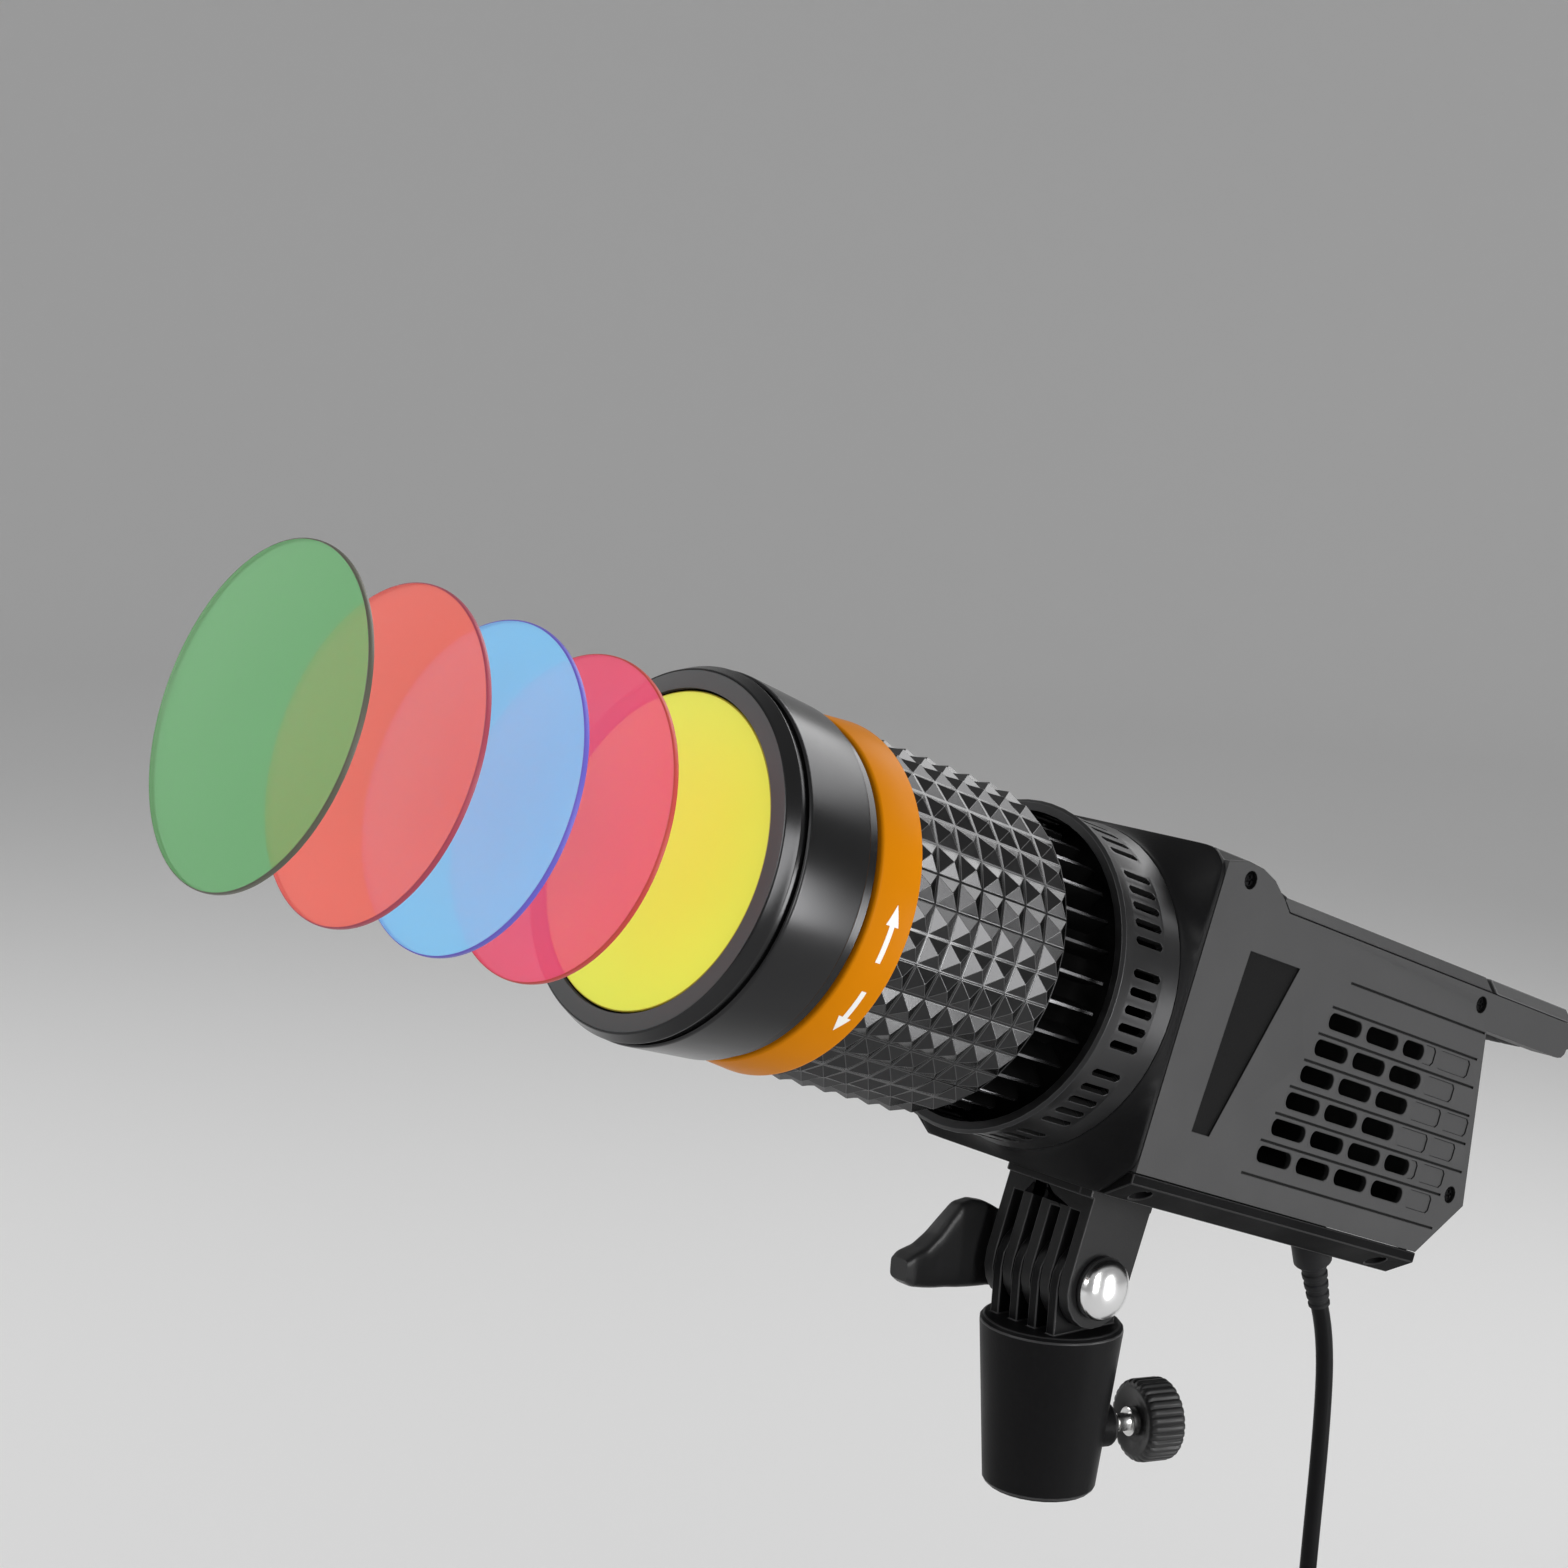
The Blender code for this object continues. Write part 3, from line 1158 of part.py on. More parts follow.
# Free stretch of cord from the strain relief down to the coil
hinge_from_lamp = Matrix.Translation((0, -hinge_behind_front, axis_above_hinge))
level_from_lamp = Matrix.Rotation(-rest_tilt, 4, "X") @ hinge_from_lamp
cord_start = level_from_lamp @ gland_place @ Vector((0, relief_end + part_gap, 0))
route = [cord_start + Vector((0, y, z)) for y, z in in_mm(lead_route)]
lead_points = smooth_path(route, lead_spacing)
tube("cord_lead", lead_points, 3)

# Coil: an inner layer wound one way, a step out, and an outer layer wound back over it
cord_diameter = 2 * cord_radius
coil_top = route[-1] - Vector((0, 0, part_gap))
coil_middle = coil_top + Vector((0, coil_radius, -cord_diameter))
turns = coil_inner_turns + coil_outer_turns


def coil_place(turn):
    """Position after a number of turns: lane across, radius, and angle round the coil."""
    inner_lane = coil_pitch * turn
    outer_lane = coil_pitch * coil_inner_turns + coil_step_out - coil_pitch * (turn - coil_inner_turns)
    change_end = coil_pitch * coil_inner_turns + coil_step_out
    lane = inner_lane + (change_end - inner_lane) * eased(turn, *coil_lane_change)
    if turn > coil_inner_turns:
        lane = outer_lane
    radius = coil_radius + coil_layer * eased(turn, *coil_rise)
    angle = full_turn * turn
    return coil_middle + Vector((lane, -radius * math.cos(angle), -radius * math.sin(angle)))


coil_points = [coil_top]
coil_points += [coil_place(i / points_per_turn) for i in range(turns * points_per_turn + 1)]
coil_points.append(coil_points[-1] - Vector((0, 0, cord_diameter)))
tube("cord_coil", coil_points, 1)


def least_gap(points):
    """Smallest clear distance between stretches of the coil that lie a quarter turn or more apart."""
    near = points_per_turn // 4
    least = coil_radius
    for i, point in enumerate(points[:-1]):
        for j in range(i + near, len(points) - 1):
            if (points[j] - point).length < 4 * cord_radius:
                least = min(least, segment_gap(point, points[i + 1], points[j], points[j + 1]))
    return least - cord_diameter


def segment_gap(a, b, c, d):
    """Least distance between two short segments, by sampling both."""
    steps = 6
    first = [a.lerp(b, i / steps) for i in range(steps + 1)]
    second = [c.lerp(d, i / steps) for i in range(steps + 1)]
    return min((p - q).length for p in first for q in second)


print("least gap in the coil, mm:", round(least_gap(coil_points) / mm, 3))
cord_length = tail_length
for run in (lead_points, coil_points):
    cord_length += sum((b - a).length for a, b in zip(run, run[1:]))
print("cord length, m:", round(cord_length, 3))

# Tie round the coil's bundle
tie_angle = full_turn * tie_at_share
lanes = [coil_place(i + tie_at_share) - coil_middle for i in range(turns)]
lane_low = min(point.x for point in lanes) - cord_radius - tie_gap
lane_high = max(point.x for point in lanes) + cord_radius + tie_gap
reaches = [math.hypot(point.y, point.z) for point in lanes]
reach_low = min(reaches) - cord_radius - tie_gap
reach_high = max(reaches) + cord_radius + tie_gap
tie_half_x = (lane_high - lane_low) / 2
tie_half_r = (reach_high - reach_low) / 2
tie_middle = ((lane_high + lane_low) / 2, (reach_high + reach_low) / 2)
tie_inside = cornered(tie_half_x, tie_half_r, 0.1, tie_middle)
tie_outside = cornered(tie_half_x + tie_thickness, tie_half_r + tie_thickness, 0.25, tie_middle)
tie_loops = [[(x, depth, -r) for x, r in outline] for outline, depth in
             ((tie_outside, -tie_width / 2), (tie_outside, tie_width / 2), (tie_inside, tie_width / 2),
              (tie_inside, -tie_width / 2))]
tie_work = turn_mesh(skin(tie_loops), Matrix.Translation(coil_middle)
                     @ Matrix.Rotation(tie_angle - math.pi / 2, 4, "X"))
piece("cord_tie", tie_work, level, (0.03, 0.03, 0.03), 0.7)

# Last stretch of cord and the plug it ends in
tail_start = coil_points[-1] - Vector((0, 0, part_gap))
tail_run = [tail_start - Vector((0, 0, tail_length * i / tail_points)) for i in range(tail_points + 1)]
tube("cord_tail", tail_run, 3)
plug_top = tail_run[-1] - Vector((0, 0, part_gap))
neck_loop = cornered(plug_neck_radius, plug_neck_radius, neck_corner_share)
body_loop = cornered(plug_half[0] * mm, plug_half[1] * mm, plug_corner_share)
plug_shoulder = -plug_neck_length - plug_length * plug_shoulder_share
plug_rows = [(0, neck_loop), (-plug_neck_length, neck_loop), (plug_shoulder, body_loop),
             (-plug_neck_length - plug_length, body_loop)]
plug_loops = [[(plug_top.x + x, plug_top.y + y, plug_top.z + z) for x, y in outline]
              for z, outline in plug_rows]
plug = piece("mains_plug", skin(plug_loops, False), level, body_black, 0.5)
pins = bmesh.new()
pin_low = -plug_neck_length - plug_length - pin_length
for offset in (-pin_spacing, pin_spacing):
    pin_outline = arc((plug_top.x, plug_top.y + offset), pin_radius, 0, full_turn, pin_sides)[:-1]
    pin_loops = [[(x, y, plug_top.z + z) for x, y in pin_outline]
                 for z in (pin_low, pin_low + pin_length + pin_radius)]
    skin(pin_loops, False, pins)
combine(plug, helper("plug_pins", pins, level), "UNION")
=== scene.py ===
import math

import bmesh
import bpy
import numpy as np
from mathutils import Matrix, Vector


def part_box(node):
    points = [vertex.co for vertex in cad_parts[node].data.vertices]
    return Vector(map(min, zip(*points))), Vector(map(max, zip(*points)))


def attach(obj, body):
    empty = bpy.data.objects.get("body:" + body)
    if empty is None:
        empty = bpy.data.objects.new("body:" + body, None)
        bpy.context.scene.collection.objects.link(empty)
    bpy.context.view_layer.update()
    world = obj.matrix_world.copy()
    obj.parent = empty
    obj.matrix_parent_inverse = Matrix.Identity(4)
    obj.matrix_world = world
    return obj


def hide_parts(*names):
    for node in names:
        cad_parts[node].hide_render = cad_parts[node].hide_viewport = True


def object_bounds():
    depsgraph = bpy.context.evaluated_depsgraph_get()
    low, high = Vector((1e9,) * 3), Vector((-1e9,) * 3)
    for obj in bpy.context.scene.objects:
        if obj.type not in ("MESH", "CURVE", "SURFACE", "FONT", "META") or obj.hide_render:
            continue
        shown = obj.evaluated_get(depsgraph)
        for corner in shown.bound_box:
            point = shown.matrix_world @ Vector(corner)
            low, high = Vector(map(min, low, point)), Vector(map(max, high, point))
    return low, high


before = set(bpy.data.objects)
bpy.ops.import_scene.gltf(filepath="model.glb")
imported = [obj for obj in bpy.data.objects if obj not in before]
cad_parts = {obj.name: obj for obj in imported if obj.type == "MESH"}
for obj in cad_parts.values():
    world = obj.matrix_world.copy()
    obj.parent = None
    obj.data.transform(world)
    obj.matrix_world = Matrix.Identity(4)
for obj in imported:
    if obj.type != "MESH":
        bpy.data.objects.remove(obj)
cad_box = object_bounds()

# Camera
# It stands a little above the lamp, at the right of its front, where the photograph was taken from. The focal
# length and place come from a camera fitted to about forty points of the photograph.
camera_lens = bpy.data.cameras.new("studio_camera")
camera_lens.lens = 68.8805
camera_lens.sensor_width = 36
camera = bpy.data.objects.new("studio_camera", camera_lens)
camera.location = (0.75759, -0.80133, 0.41382)
camera.rotation_mode = "QUATERNION"
camera.rotation_quaternion = (0.673872, 0.605796, 0.253359, 0.338699)
bpy.context.collection.objects.link(camera)
bpy.context.scene.camera = camera
bpy.context.scene.view_settings.view_transform = "Standard"


# Studio
# A pale floor swept up into a round wall, an even pale sky, and soft boxes: in front of the filters, at the
# lamp's right, high behind it, at the far left, and an upright strip low behind its right side.
mm = 0.001


def turns(count):
    """Even angles round one full turn."""
    return np.arange(count) * (2 * math.pi / count)


def lathe(profile, steps):
    """Grid of a turned form: the profile point (y, r) at the angle t becomes (r cos t, y, r sin t)."""
    y, r = np.split(np.asarray(profile, float), 2, axis=1)
    t = turns(steps)
    return np.stack((r * np.cos(t), y + 0 * t, r * np.sin(t)), axis=-1)


def shade(mesh, sharp):
    """Smooth shading, with a sharp edge where two faces meet at more than `sharp` degrees."""
    mesh.polygons.foreach_set("use_smooth", np.ones(len(mesh.polygons), bool))
    mesh.set_sharp_from_angle(angle=math.radians(sharp))


def mesh_of(name, points, faces, sharp):
    """Mesh of points and faces with doubled points joined and every face turned outwards."""
    mesh = bpy.data.meshes.new(name)
    mesh.from_pydata(points.reshape(-1, 3).tolist(), [], faces)
    work = bmesh.new()
    work.from_mesh(mesh)
    bmesh.ops.remove_doubles(work, verts=work.verts, dist=1e-7)
    bmesh.ops.recalc_face_normals(work, faces=work.faces)
    work.to_mesh(mesh)
    work.free()
    shade(mesh, sharp)
    return mesh


def skin(name, grid, ends="capped", sharp=32):
    """Mesh over a grid of rows and columns. Columns close round; rows close into a ring or get an end face."""
    rows, columns = grid.shape[:2]
    index = np.arange(rows * columns).reshape(rows, columns)
    here, after = index, np.roll(index, -1, axis=1)
    if ends == "ring":
        below, below_after = np.roll(here, -1, axis=0), np.roll(after, -1, axis=0)
    else:
        here, after, below, below_after = here[:-1], after[:-1], index[1:], np.roll(index, -1, axis=1)[1:]
    quads = np.stack((here, after, below_after, below), axis=-1).reshape(-1, 4).tolist()
    if ends == "capped":
        quads += [index[0].tolist(), index[-1, ::-1].tolist()]
    return mesh_of(name, grid, quads, sharp)


def shown(name, mesh, *materials):
    """Object of a mesh, standing at the origin, with its materials."""
    for material in materials:
        mesh.materials.append(material)
    made = bpy.data.objects.new(name, mesh)
    bpy.context.collection.objects.link(made)
    return made


floor_paint = bpy.data.materials.new("floor_paint")
floor_paint.use_nodes = True
for socket, value in (("Base Color", (0.86, 0.86, 0.86, 1)), ("Roughness", 0.9), ("Specular IOR Level", 0.1)):
    floor_paint.node_tree.nodes["Principled BSDF"].inputs[socket].default_value = value
sweep = np.linspace(0, math.pi / 2, 17)
floor_reach, sweep_radius, wall_height = 4.6, 1.5, 3.4
floor_level = float(cad_box[0][2]) - 1 * mm
floor_profile = [(0, 0), (0, 1.5), (0, 3.0)]
floor_profile += [(sweep_radius * (1 - math.cos(a)), floor_reach + sweep_radius * math.sin(a)) for a in sweep]
floor_profile.append((wall_height, floor_reach + sweep_radius))
floor_grid = lathe(floor_profile, 96)[:, :, (0, 2, 1)] + (0, 0, floor_level)
floor_mesh = skin("studio_floor", floor_grid, ends="open", sharp=80)
studio_floor = shown("studio_floor", floor_mesh, floor_paint)
# An open sheet has no outside of its own, so it is turned face up where it lies face down.
if floor_mesh.polygons[0].normal.z < 0:
    floor_mesh.flip_normals()

sky = bpy.data.worlds.new("studio_sky")
sky.use_nodes = True
sky.node_tree.nodes["Background"].inputs["Color"].default_value = (1, 1, 1, 1)
sky.node_tree.nodes["Background"].inputs["Strength"].default_value = 0.36
bpy.context.scene.world = sky

# name, place, size across and along, watts; each looks at the middle of the lamp
soft_boxes = (("front_box", (-0.25, -2.5, 1.5), (1.3, 1.0), 27.0),
              ("right_box", (2.15, -0.28, 0.6), (0.6, 1.8), 26.0),
              ("rear_box", (0.05, 1.45, 1.3), (1.8, 0.7), 15.0),
              ("left_box", (-2.0, -0.9, 0.9), (0.7, 1.2), 8.0),
              ("strip_box", (0.88, 0.54, -0.03), (0.16, 0.52), 4.2))
lamp_middle = np.array((0, -0.12, 0.2))
# The two boxes at the lamp's right stand close to the floor, so they leave it out and light the lamp alone.
floor_left_out = bpy.data.collections.new("floor_left_out")
floor_left_out.objects.link(studio_floor)
floor_left_out.collection_objects[0].light_linking.link_state = "EXCLUDE"
for box_name, place, size, watts in soft_boxes:
    lamp = bpy.data.lights.new(box_name, "AREA")
    lamp.shape = "RECTANGLE"
    lamp.size, lamp.size_y = size
    lamp.energy = watts
    holder = bpy.data.objects.new(box_name, lamp)
    holder.location = place
    aim = lamp_middle - np.array(place)
    yaw = math.atan2(aim[1], aim[0]) - math.pi / 2
    pitch = math.atan2(aim[2], math.hypot(aim[0], aim[1])) + math.pi / 2
    holder.rotation_euler = (pitch, 0, yaw)
    holder.visible_camera = False
    if box_name in ("right_box", "strip_box"):
        holder.light_linking.receiver_collection = floor_left_out
    bpy.context.collection.objects.link(holder)


# Mains cord
# A round black PVC cord with two cores. It leaves the tray through a ribbed rubber relief, hangs down out of
# the picture, and its spare length is wound in two layers and tied, with a moulded two-pin plug on the end.
lamp_tilt = math.radians(17.6)
hinge_height = 83.6 * mm
hinge_behind_front, axis_above_hinge = 40.5 * mm, 101.9 * mm


def on_lamp(points):
    """Lamp coordinates (x, y back from the panels' front, z above the lamp's axis) in the scene: shifted to the
    hinge, turned down by the tilt about x, lifted by the hinge's height."""
    points = np.asarray(points, float)
    x, y, z = points[..., 0], points[..., 1] - hinge_behind_front, points[..., 2] + axis_above_hinge
    c, s = math.cos(lamp_tilt), math.sin(lamp_tilt)
    return np.stack((x, y * c + z * s, z * c - y * s + hinge_height), axis=-1)


def in_lamp(points):
    """The lamp coordinates of points of the scene: the reverse of on_lamp."""
    points = np.asarray(points, float)
    c, s = math.cos(lamp_tilt), math.sin(lamp_tilt)
    y, z = points[..., 1], points[..., 2] - hinge_height
    return np.stack((points[..., 0], y * c - z * s + hinge_behind_front, y * s + z * c - axis_above_hinge), axis=-1)


def finish(name, colour, roughness, metallic=0.0, specular=0.5, mottle=0.10, patch=0.03, spread=0.06,
           grain=0.0007, relief=0.00003, turned=False, coat=0.0, alpha=1.0):
    """A finish on object coordinates. Slow noise, `patch` metres wide, shifts the colour by `mottle` and the
    roughness by `spread`; fine noise, `grain` metres wide, raises the surface by `relief` metres. A turned finish
    stretches the fine noise round the lamp's axis into lathe rings."""
    material = bpy.data.materials.new(name)
    material.use_nodes = True
    nodes, links = material.node_tree.nodes, material.node_tree.links
    shader = nodes["Principled BSDF"]
    for socket, value in (("Metallic", metallic), ("Specular IOR Level", specular), ("Coat Weight", coat),
                          ("Coat Roughness", 0.08), ("Alpha", alpha)):
        shader.inputs[socket].default_value = value
    place = nodes.new("ShaderNodeTexCoord")
    slow = nodes.new("ShaderNodeTexNoise")
    slow.inputs["Scale"].default_value = 1 / patch
    slow.inputs["Detail"].default_value = 4
    links.new(place.outputs["Object"], slow.inputs["Vector"])
    tint = nodes.new("ShaderNodeMix")
    tint.data_type = "RGBA"
    # A Mix node has its sockets once for each kind of value, so those for colours go by number.
    factor, dark_colour, light_colour, mixed_colour = 0, 6, 7, 2
    tint.inputs[dark_colour].default_value = (*[c * (1 - mottle) for c in colour], 1)
    tint.inputs[light_colour].default_value = (*[min(1, c * (1 + mottle)) for c in colour], 1)
    links.new(slow.outputs["Fac"], tint.inputs[factor])
    links.new(tint.outputs[mixed_colour], shader.inputs["Base Color"])
    gloss = nodes.new("ShaderNodeMapRange")
    gloss.inputs["From Min"].default_value = 0.3
    gloss.inputs["From Max"].default_value = 0.7
    gloss.inputs["To Min"].default_value = max(0.02, roughness - spread)
    gloss.inputs["To Max"].default_value = roughness + spread
    links.new(slow.outputs["Fac"], gloss.inputs["Value"])
    links.new(gloss.outputs["Result"], shader.inputs["Roughness"])
    fine = nodes.new("ShaderNodeTexNoise")
    fine.inputs["Detail"].default_value = 2
    if turned:
        stretch = nodes.new("ShaderNodeMapping")
        stretch.vector_type = "TEXTURE"
        stretch.inputs["Location"].default_value = tuple(on_lamp((0, 0, 0)))
        stretch.inputs["Rotation"].default_value = (-lamp_tilt, 0, 0)
        stretch.inputs["Scale"].default_value = (0.05, grain, 0.05)
        links.new(place.outputs["Object"], stretch.inputs["Vector"])
        links.new(stretch.outputs["Vector"], fine.inputs["Vector"])
        fine.inputs["Scale"].default_value = 1
    else:
        links.new(place.outputs["Object"], fine.inputs["Vector"])
        fine.inputs["Scale"].default_value = 1 / grain
    bump = nodes.new("ShaderNodeBump")
    bump.inputs["Distance"].default_value = relief
    links.new(fine.outputs["Fac"], bump.inputs["Height"])
    links.new(bump.outputs["Normal"], shader.inputs["Normal"])
    return material


def fit(piece, body, slot, *nodes):
    """Lets a piece ride on a body and hides the CAD nodes that it stands for. The slot is not used."""
    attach(piece, body)
    if nodes:
        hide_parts(*nodes)
    return piece


def put(name, grid, ends, sharp, look, body, slot, *nodes):
    """A skinned grid in one finish, fitted to its body."""
    return fit(shown(name, skin(name, grid, ends, sharp), look), body, slot, *nodes)


cord_black = finish("cord_black", (0.005, 0.005, 0.0055), 0.40, specular=0.10, grain=0.0011, relief=0.00002)
rubber_black = finish("rubber_black", (0.011, 0.011, 0.012), 0.58, specular=0.22, grain=0.0008, relief=0.00003)
plug_black = finish("plug_black", (0.022, 0.022, 0.023), 0.42, specular=0.4, grain=0.0006, relief=0.00002)
pin_nickel = finish("pin_nickel", (0.72, 0.71, 0.68), 0.24, metallic=1.0, mottle=0.05)
strap_black = finish("strap_black", (0.03, 0.03, 0.032), 0.85, specular=0.2, grain=0.0005, relief=0.00012)

cord_radius = 3.5 * mm
gland_lean = math.radians(37)
gland_foot = np.array((30, 147.2, -67)) * mm
gland_way = np.array((0, math.sin(gland_lean), -math.cos(gland_lean)))
relief_end, cord_gap = 25.2 * mm, 0.3 * mm
cord_exit = on_lamp(gland_foot + gland_way * (relief_end + cord_gap))
lead_steps = np.array(((0, 0), (2.7, -7), (5.2, -16), (7.2, -28), (8.4, -44), (9.0, -66), (9.0, -100), (9.0, -136),
                       (9.0, -172))) * mm
lead_route = cord_exit + np.column_stack((np.zeros(len(lead_steps)), lead_steps))


def eased_through(points, count):
    """Catmull-Rom curve through points: between P1 and P2 it is P1 + (P2-P0)t/2 + (2P0-5P1+4P2-P3)t^2/2
    + (3P1-P0-3P2+P3)t^3/2, then spread to even steps along its length."""
    ends = np.vstack((2 * points[0] - points[1], points, 2 * points[-1] - points[-2]))
    t = (np.arange(24) / 24)[:, None, None]
    p0, p1, p2, p3 = ends[:-3], ends[1:-2], ends[2:-1], ends[3:]
    runs = (p1 + (p2 - p0) * t / 2 + (2 * p0 - 5 * p1 + 4 * p2 - p3) * t ** 2 / 2
            + (3 * p1 - p0 - 3 * p2 + p3) * t ** 3 / 2)
    fine = np.vstack((runs.transpose(1, 0, 2).reshape(-1, 3), points[-1:]))
    along = np.concatenate(([0], np.cumsum(np.linalg.norm(np.diff(fine, axis=0), axis=1))))
    even = np.linspace(0, along[-1], count)
    return np.stack([np.interp(even, along, fine[:, k]) for k in range(3)], axis=1)


def ease(value, start, end):
    """3s^2 - 2s^3 of the share s of the way from start to end, held between 0 and 1."""
    s = np.clip((value - start) / (end - start), 0, 1)
    return s * s * (3 - 2 * s)


coil_radius, coil_layer, coil_pitch, coil_step = 40 * mm, 8 * mm, 7.8 * mm, 3.8 * mm
inner_turns, outer_turns, steps_per_turn = 4, 3, 36
coil_top = lead_route[-1] - (0, 0, cord_gap)
coil_middle = coil_top + (0, coil_radius, -2 * cord_radius)


def coil_place(turn):
    """Coil after a number of turns: middle + (lane, -R cos 2 pi turn, -R sin 2 pi turn). The lane steps by one
    pitch for each turn, out and then back, and R eases up by one layer between the two runs."""
    turn = np.asarray(turn, float)
    far_lane = coil_pitch * inner_turns + coil_step
    inner = coil_pitch * turn
    lane = inner + (far_lane - inner) * ease(turn, inner_turns - 0.7, inner_turns - 0.3)
    lane = np.where(turn > inner_turns, far_lane - coil_pitch * (turn - inner_turns), lane)
    reach = coil_radius + coil_layer * ease(turn, inner_turns - 0.3, inner_turns + 0.05)
    angle = 2 * math.pi * turn
    return coil_middle + np.stack((lane, -reach * np.cos(angle), -reach * np.sin(angle)), axis=-1)


coil_run = coil_place(np.arange((inner_turns + outer_turns) * steps_per_turn + 1) / steps_per_turn)
tail_length = 36 * mm
tail_top = coil_run[-1] - (0, 0, 2 * cord_radius + cord_gap)
tail_run = tail_top - np.outer(np.linspace(0, tail_length, 7), (0, 0, 1))
cord_run = np.vstack((eased_through(lead_route, 34), coil_top - (0, 0, cord_radius), coil_run,
                      coil_run[-1:] - (0, 0, cord_radius), tail_run))
cord_line = bpy.data.curves.new("mains_cord", "CURVE")
cord_line.dimensions = "3D"
cord_line.bevel_depth = cord_radius
cord_line.bevel_resolution = 5
cord_line.use_fill_caps = True
cord_spline = cord_line.splines.new("POLY")
cord_spline.points.add(len(cord_run) - 1)
cord_spline.points.foreach_set("co", np.column_stack((cord_run, np.ones(len(cord_run)))).ravel())
cord_spline.use_smooth = True
mains_cord = shown("mains_cord", cord_line, cord_black)

# Four grooves ring the relief: 0.5 mm deep where 3 sin(8 pi s - 1.2), held between 0 and 1, is 1.
relief_rows = np.linspace(0, 1, 61)
relief_wave = np.clip(np.sin(relief_rows * math.pi * 8 - 1.2) * 3, 0, 1) * (relief_rows < 0.93)
relief_profile = [(-5, 0), (-5, 7.3), (-4.7, 7.6), (5.1, 7.6), (5.6, 7.3), (6.4, 6.0), (7.2, 5.4)]
relief_profile += [(7.2 + 18 * s, 5.4 - 1.1 * s - 0.5 * w) for s, w in zip(relief_rows, relief_wave)]
relief_profile += [(25.2, 3.9), (25.2, 0)]
relief_grid = lathe(np.array(relief_profile) * mm, 40)
# The relief's own axis y points along the way that the cord leaves.
relief_across = np.array((0, -gland_way[2], gland_way[1]))
relief_grid = (gland_foot + relief_grid[..., :1] * (1, 0, 0) + relief_grid[..., 1:2] * gland_way
               + relief_grid[..., 2:] * relief_across)
cord_relief = put("cord_relief", on_lamp(relief_grid), "open", 32, rubber_black, "head", "grip_rubber", "cord_gland")

# The strap's place round the coil in turns, and its room round the cord.
tie_turn, tie_room = 0.66, 0.7 * mm
lanes = coil_place(np.arange(inner_turns + outer_turns) + tie_turn) - coil_middle
lane_span = np.array((lanes[:, 0].min(), lanes[:, 0].max())) + np.array((-1, 1)) * (cord_radius + tie_room)
reaches = np.hypot(lanes[:, 1], lanes[:, 2])
reach_span = np.array((reaches.min(), reaches.max())) + np.array((-1, 1)) * (cord_radius + tie_room)
strap_turn = turns(96)


def power_round(angle, power):
    """Radius at an angle of the outline |x|^n + |y|^n = 1: a circle for n = 2, and nearly a box for n = 6."""
    return (np.abs(np.cos(angle)) ** power + np.abs(np.sin(angle)) ** power) ** (-1 / power)


# The strap's own section is carried round a rounded box, |x/a|^6 + |r/b|^6 = 1.
strap_round = power_round(strap_turn, 6)
strap_section = np.array(((-4.5, 0.2), (-4.3, 0.0), (4.3, 0.0), (4.5, 0.2), (4.5, 1.2), (4.3, 1.4), (-4.3, 1.4),
                          (-4.5, 1.2))) * mm
strap_rise = strap_section[:, 1:2]
strap_x = lane_span.mean() + (np.ptp(lane_span) / 2 + strap_rise) * np.cos(strap_turn) * strap_round
strap_r = reach_span.mean() + (np.ptp(reach_span) / 2 + strap_rise) * np.sin(strap_turn) * strap_round
strap_d = strap_section[:, :1] + 0 * strap_x
strap_angle = 2 * math.pi * tie_turn
strap_grid = coil_middle + np.stack((strap_x, -strap_r * math.cos(strap_angle) + strap_d * math.sin(strap_angle),
                                     -strap_r * math.sin(strap_angle) - strap_d * math.cos(strap_angle)), axis=-1)
cord_strap = put("cord_strap", strap_grid, "ring", 50, strap_black, "head", "grip_rubber", "cord_tie")

plug_top = tail_run[-1] - (0, 0, cord_gap)
# Rows of the plug, in millimetres: height, half width, half depth and the power of its outline, round at the neck
# and squarer in the body.
plug_rows = np.array(((0, 4.4, 4.4, 2), (-0.5, 4.9, 4.9, 2), (-3, 5, 5, 2), (-3.1, 4.5, 4.5, 2), (-4, 4.5, 4.5, 2),
                      (-4.1, 5, 5, 2), (-6.5, 5, 5, 2), (-6.6, 4.5, 4.5, 2), (-7.5, 4.5, 4.5, 2), (-7.6, 5, 5, 2),
                      (-12, 5.2, 5.6, 2.2), (-15, 6.6, 8.4, 2.6), (-18.5, 8.2, 11.6, 3.2), (-22, 8.8, 12.8, 3.6),
                      (-26, 9, 13, 4), (-44.5, 9, 13, 4), (-45.6, 8.6, 12.6, 4), (-46, 8, 12, 4)))
plug_turn = turns(64)
plug_round = power_round(plug_turn, plug_rows[:, 3:4])
plug_grid = plug_top + np.stack((plug_rows[:, 1:2] * np.cos(plug_turn) * plug_round,
                                 plug_rows[:, 2:3] * np.sin(plug_turn) * plug_round,
                                 plug_rows[:, :1] + 0 * plug_round), axis=-1) * mm
plug_body = put("plug_body", plug_grid, "capped", 40, plug_black, "head", "knob_plastic", "mains_plug")
sleeve_end, pin_offset = -54.05 * mm, 9.5 * mm
pin_profile = [(-45.5, 0), (-45.5, 2.35), (-54, 2.35), (-54.1, 2.1), (-63.5, 2.1), (-64.4, 1.7), (-65, 0.9), (-65, 0)]
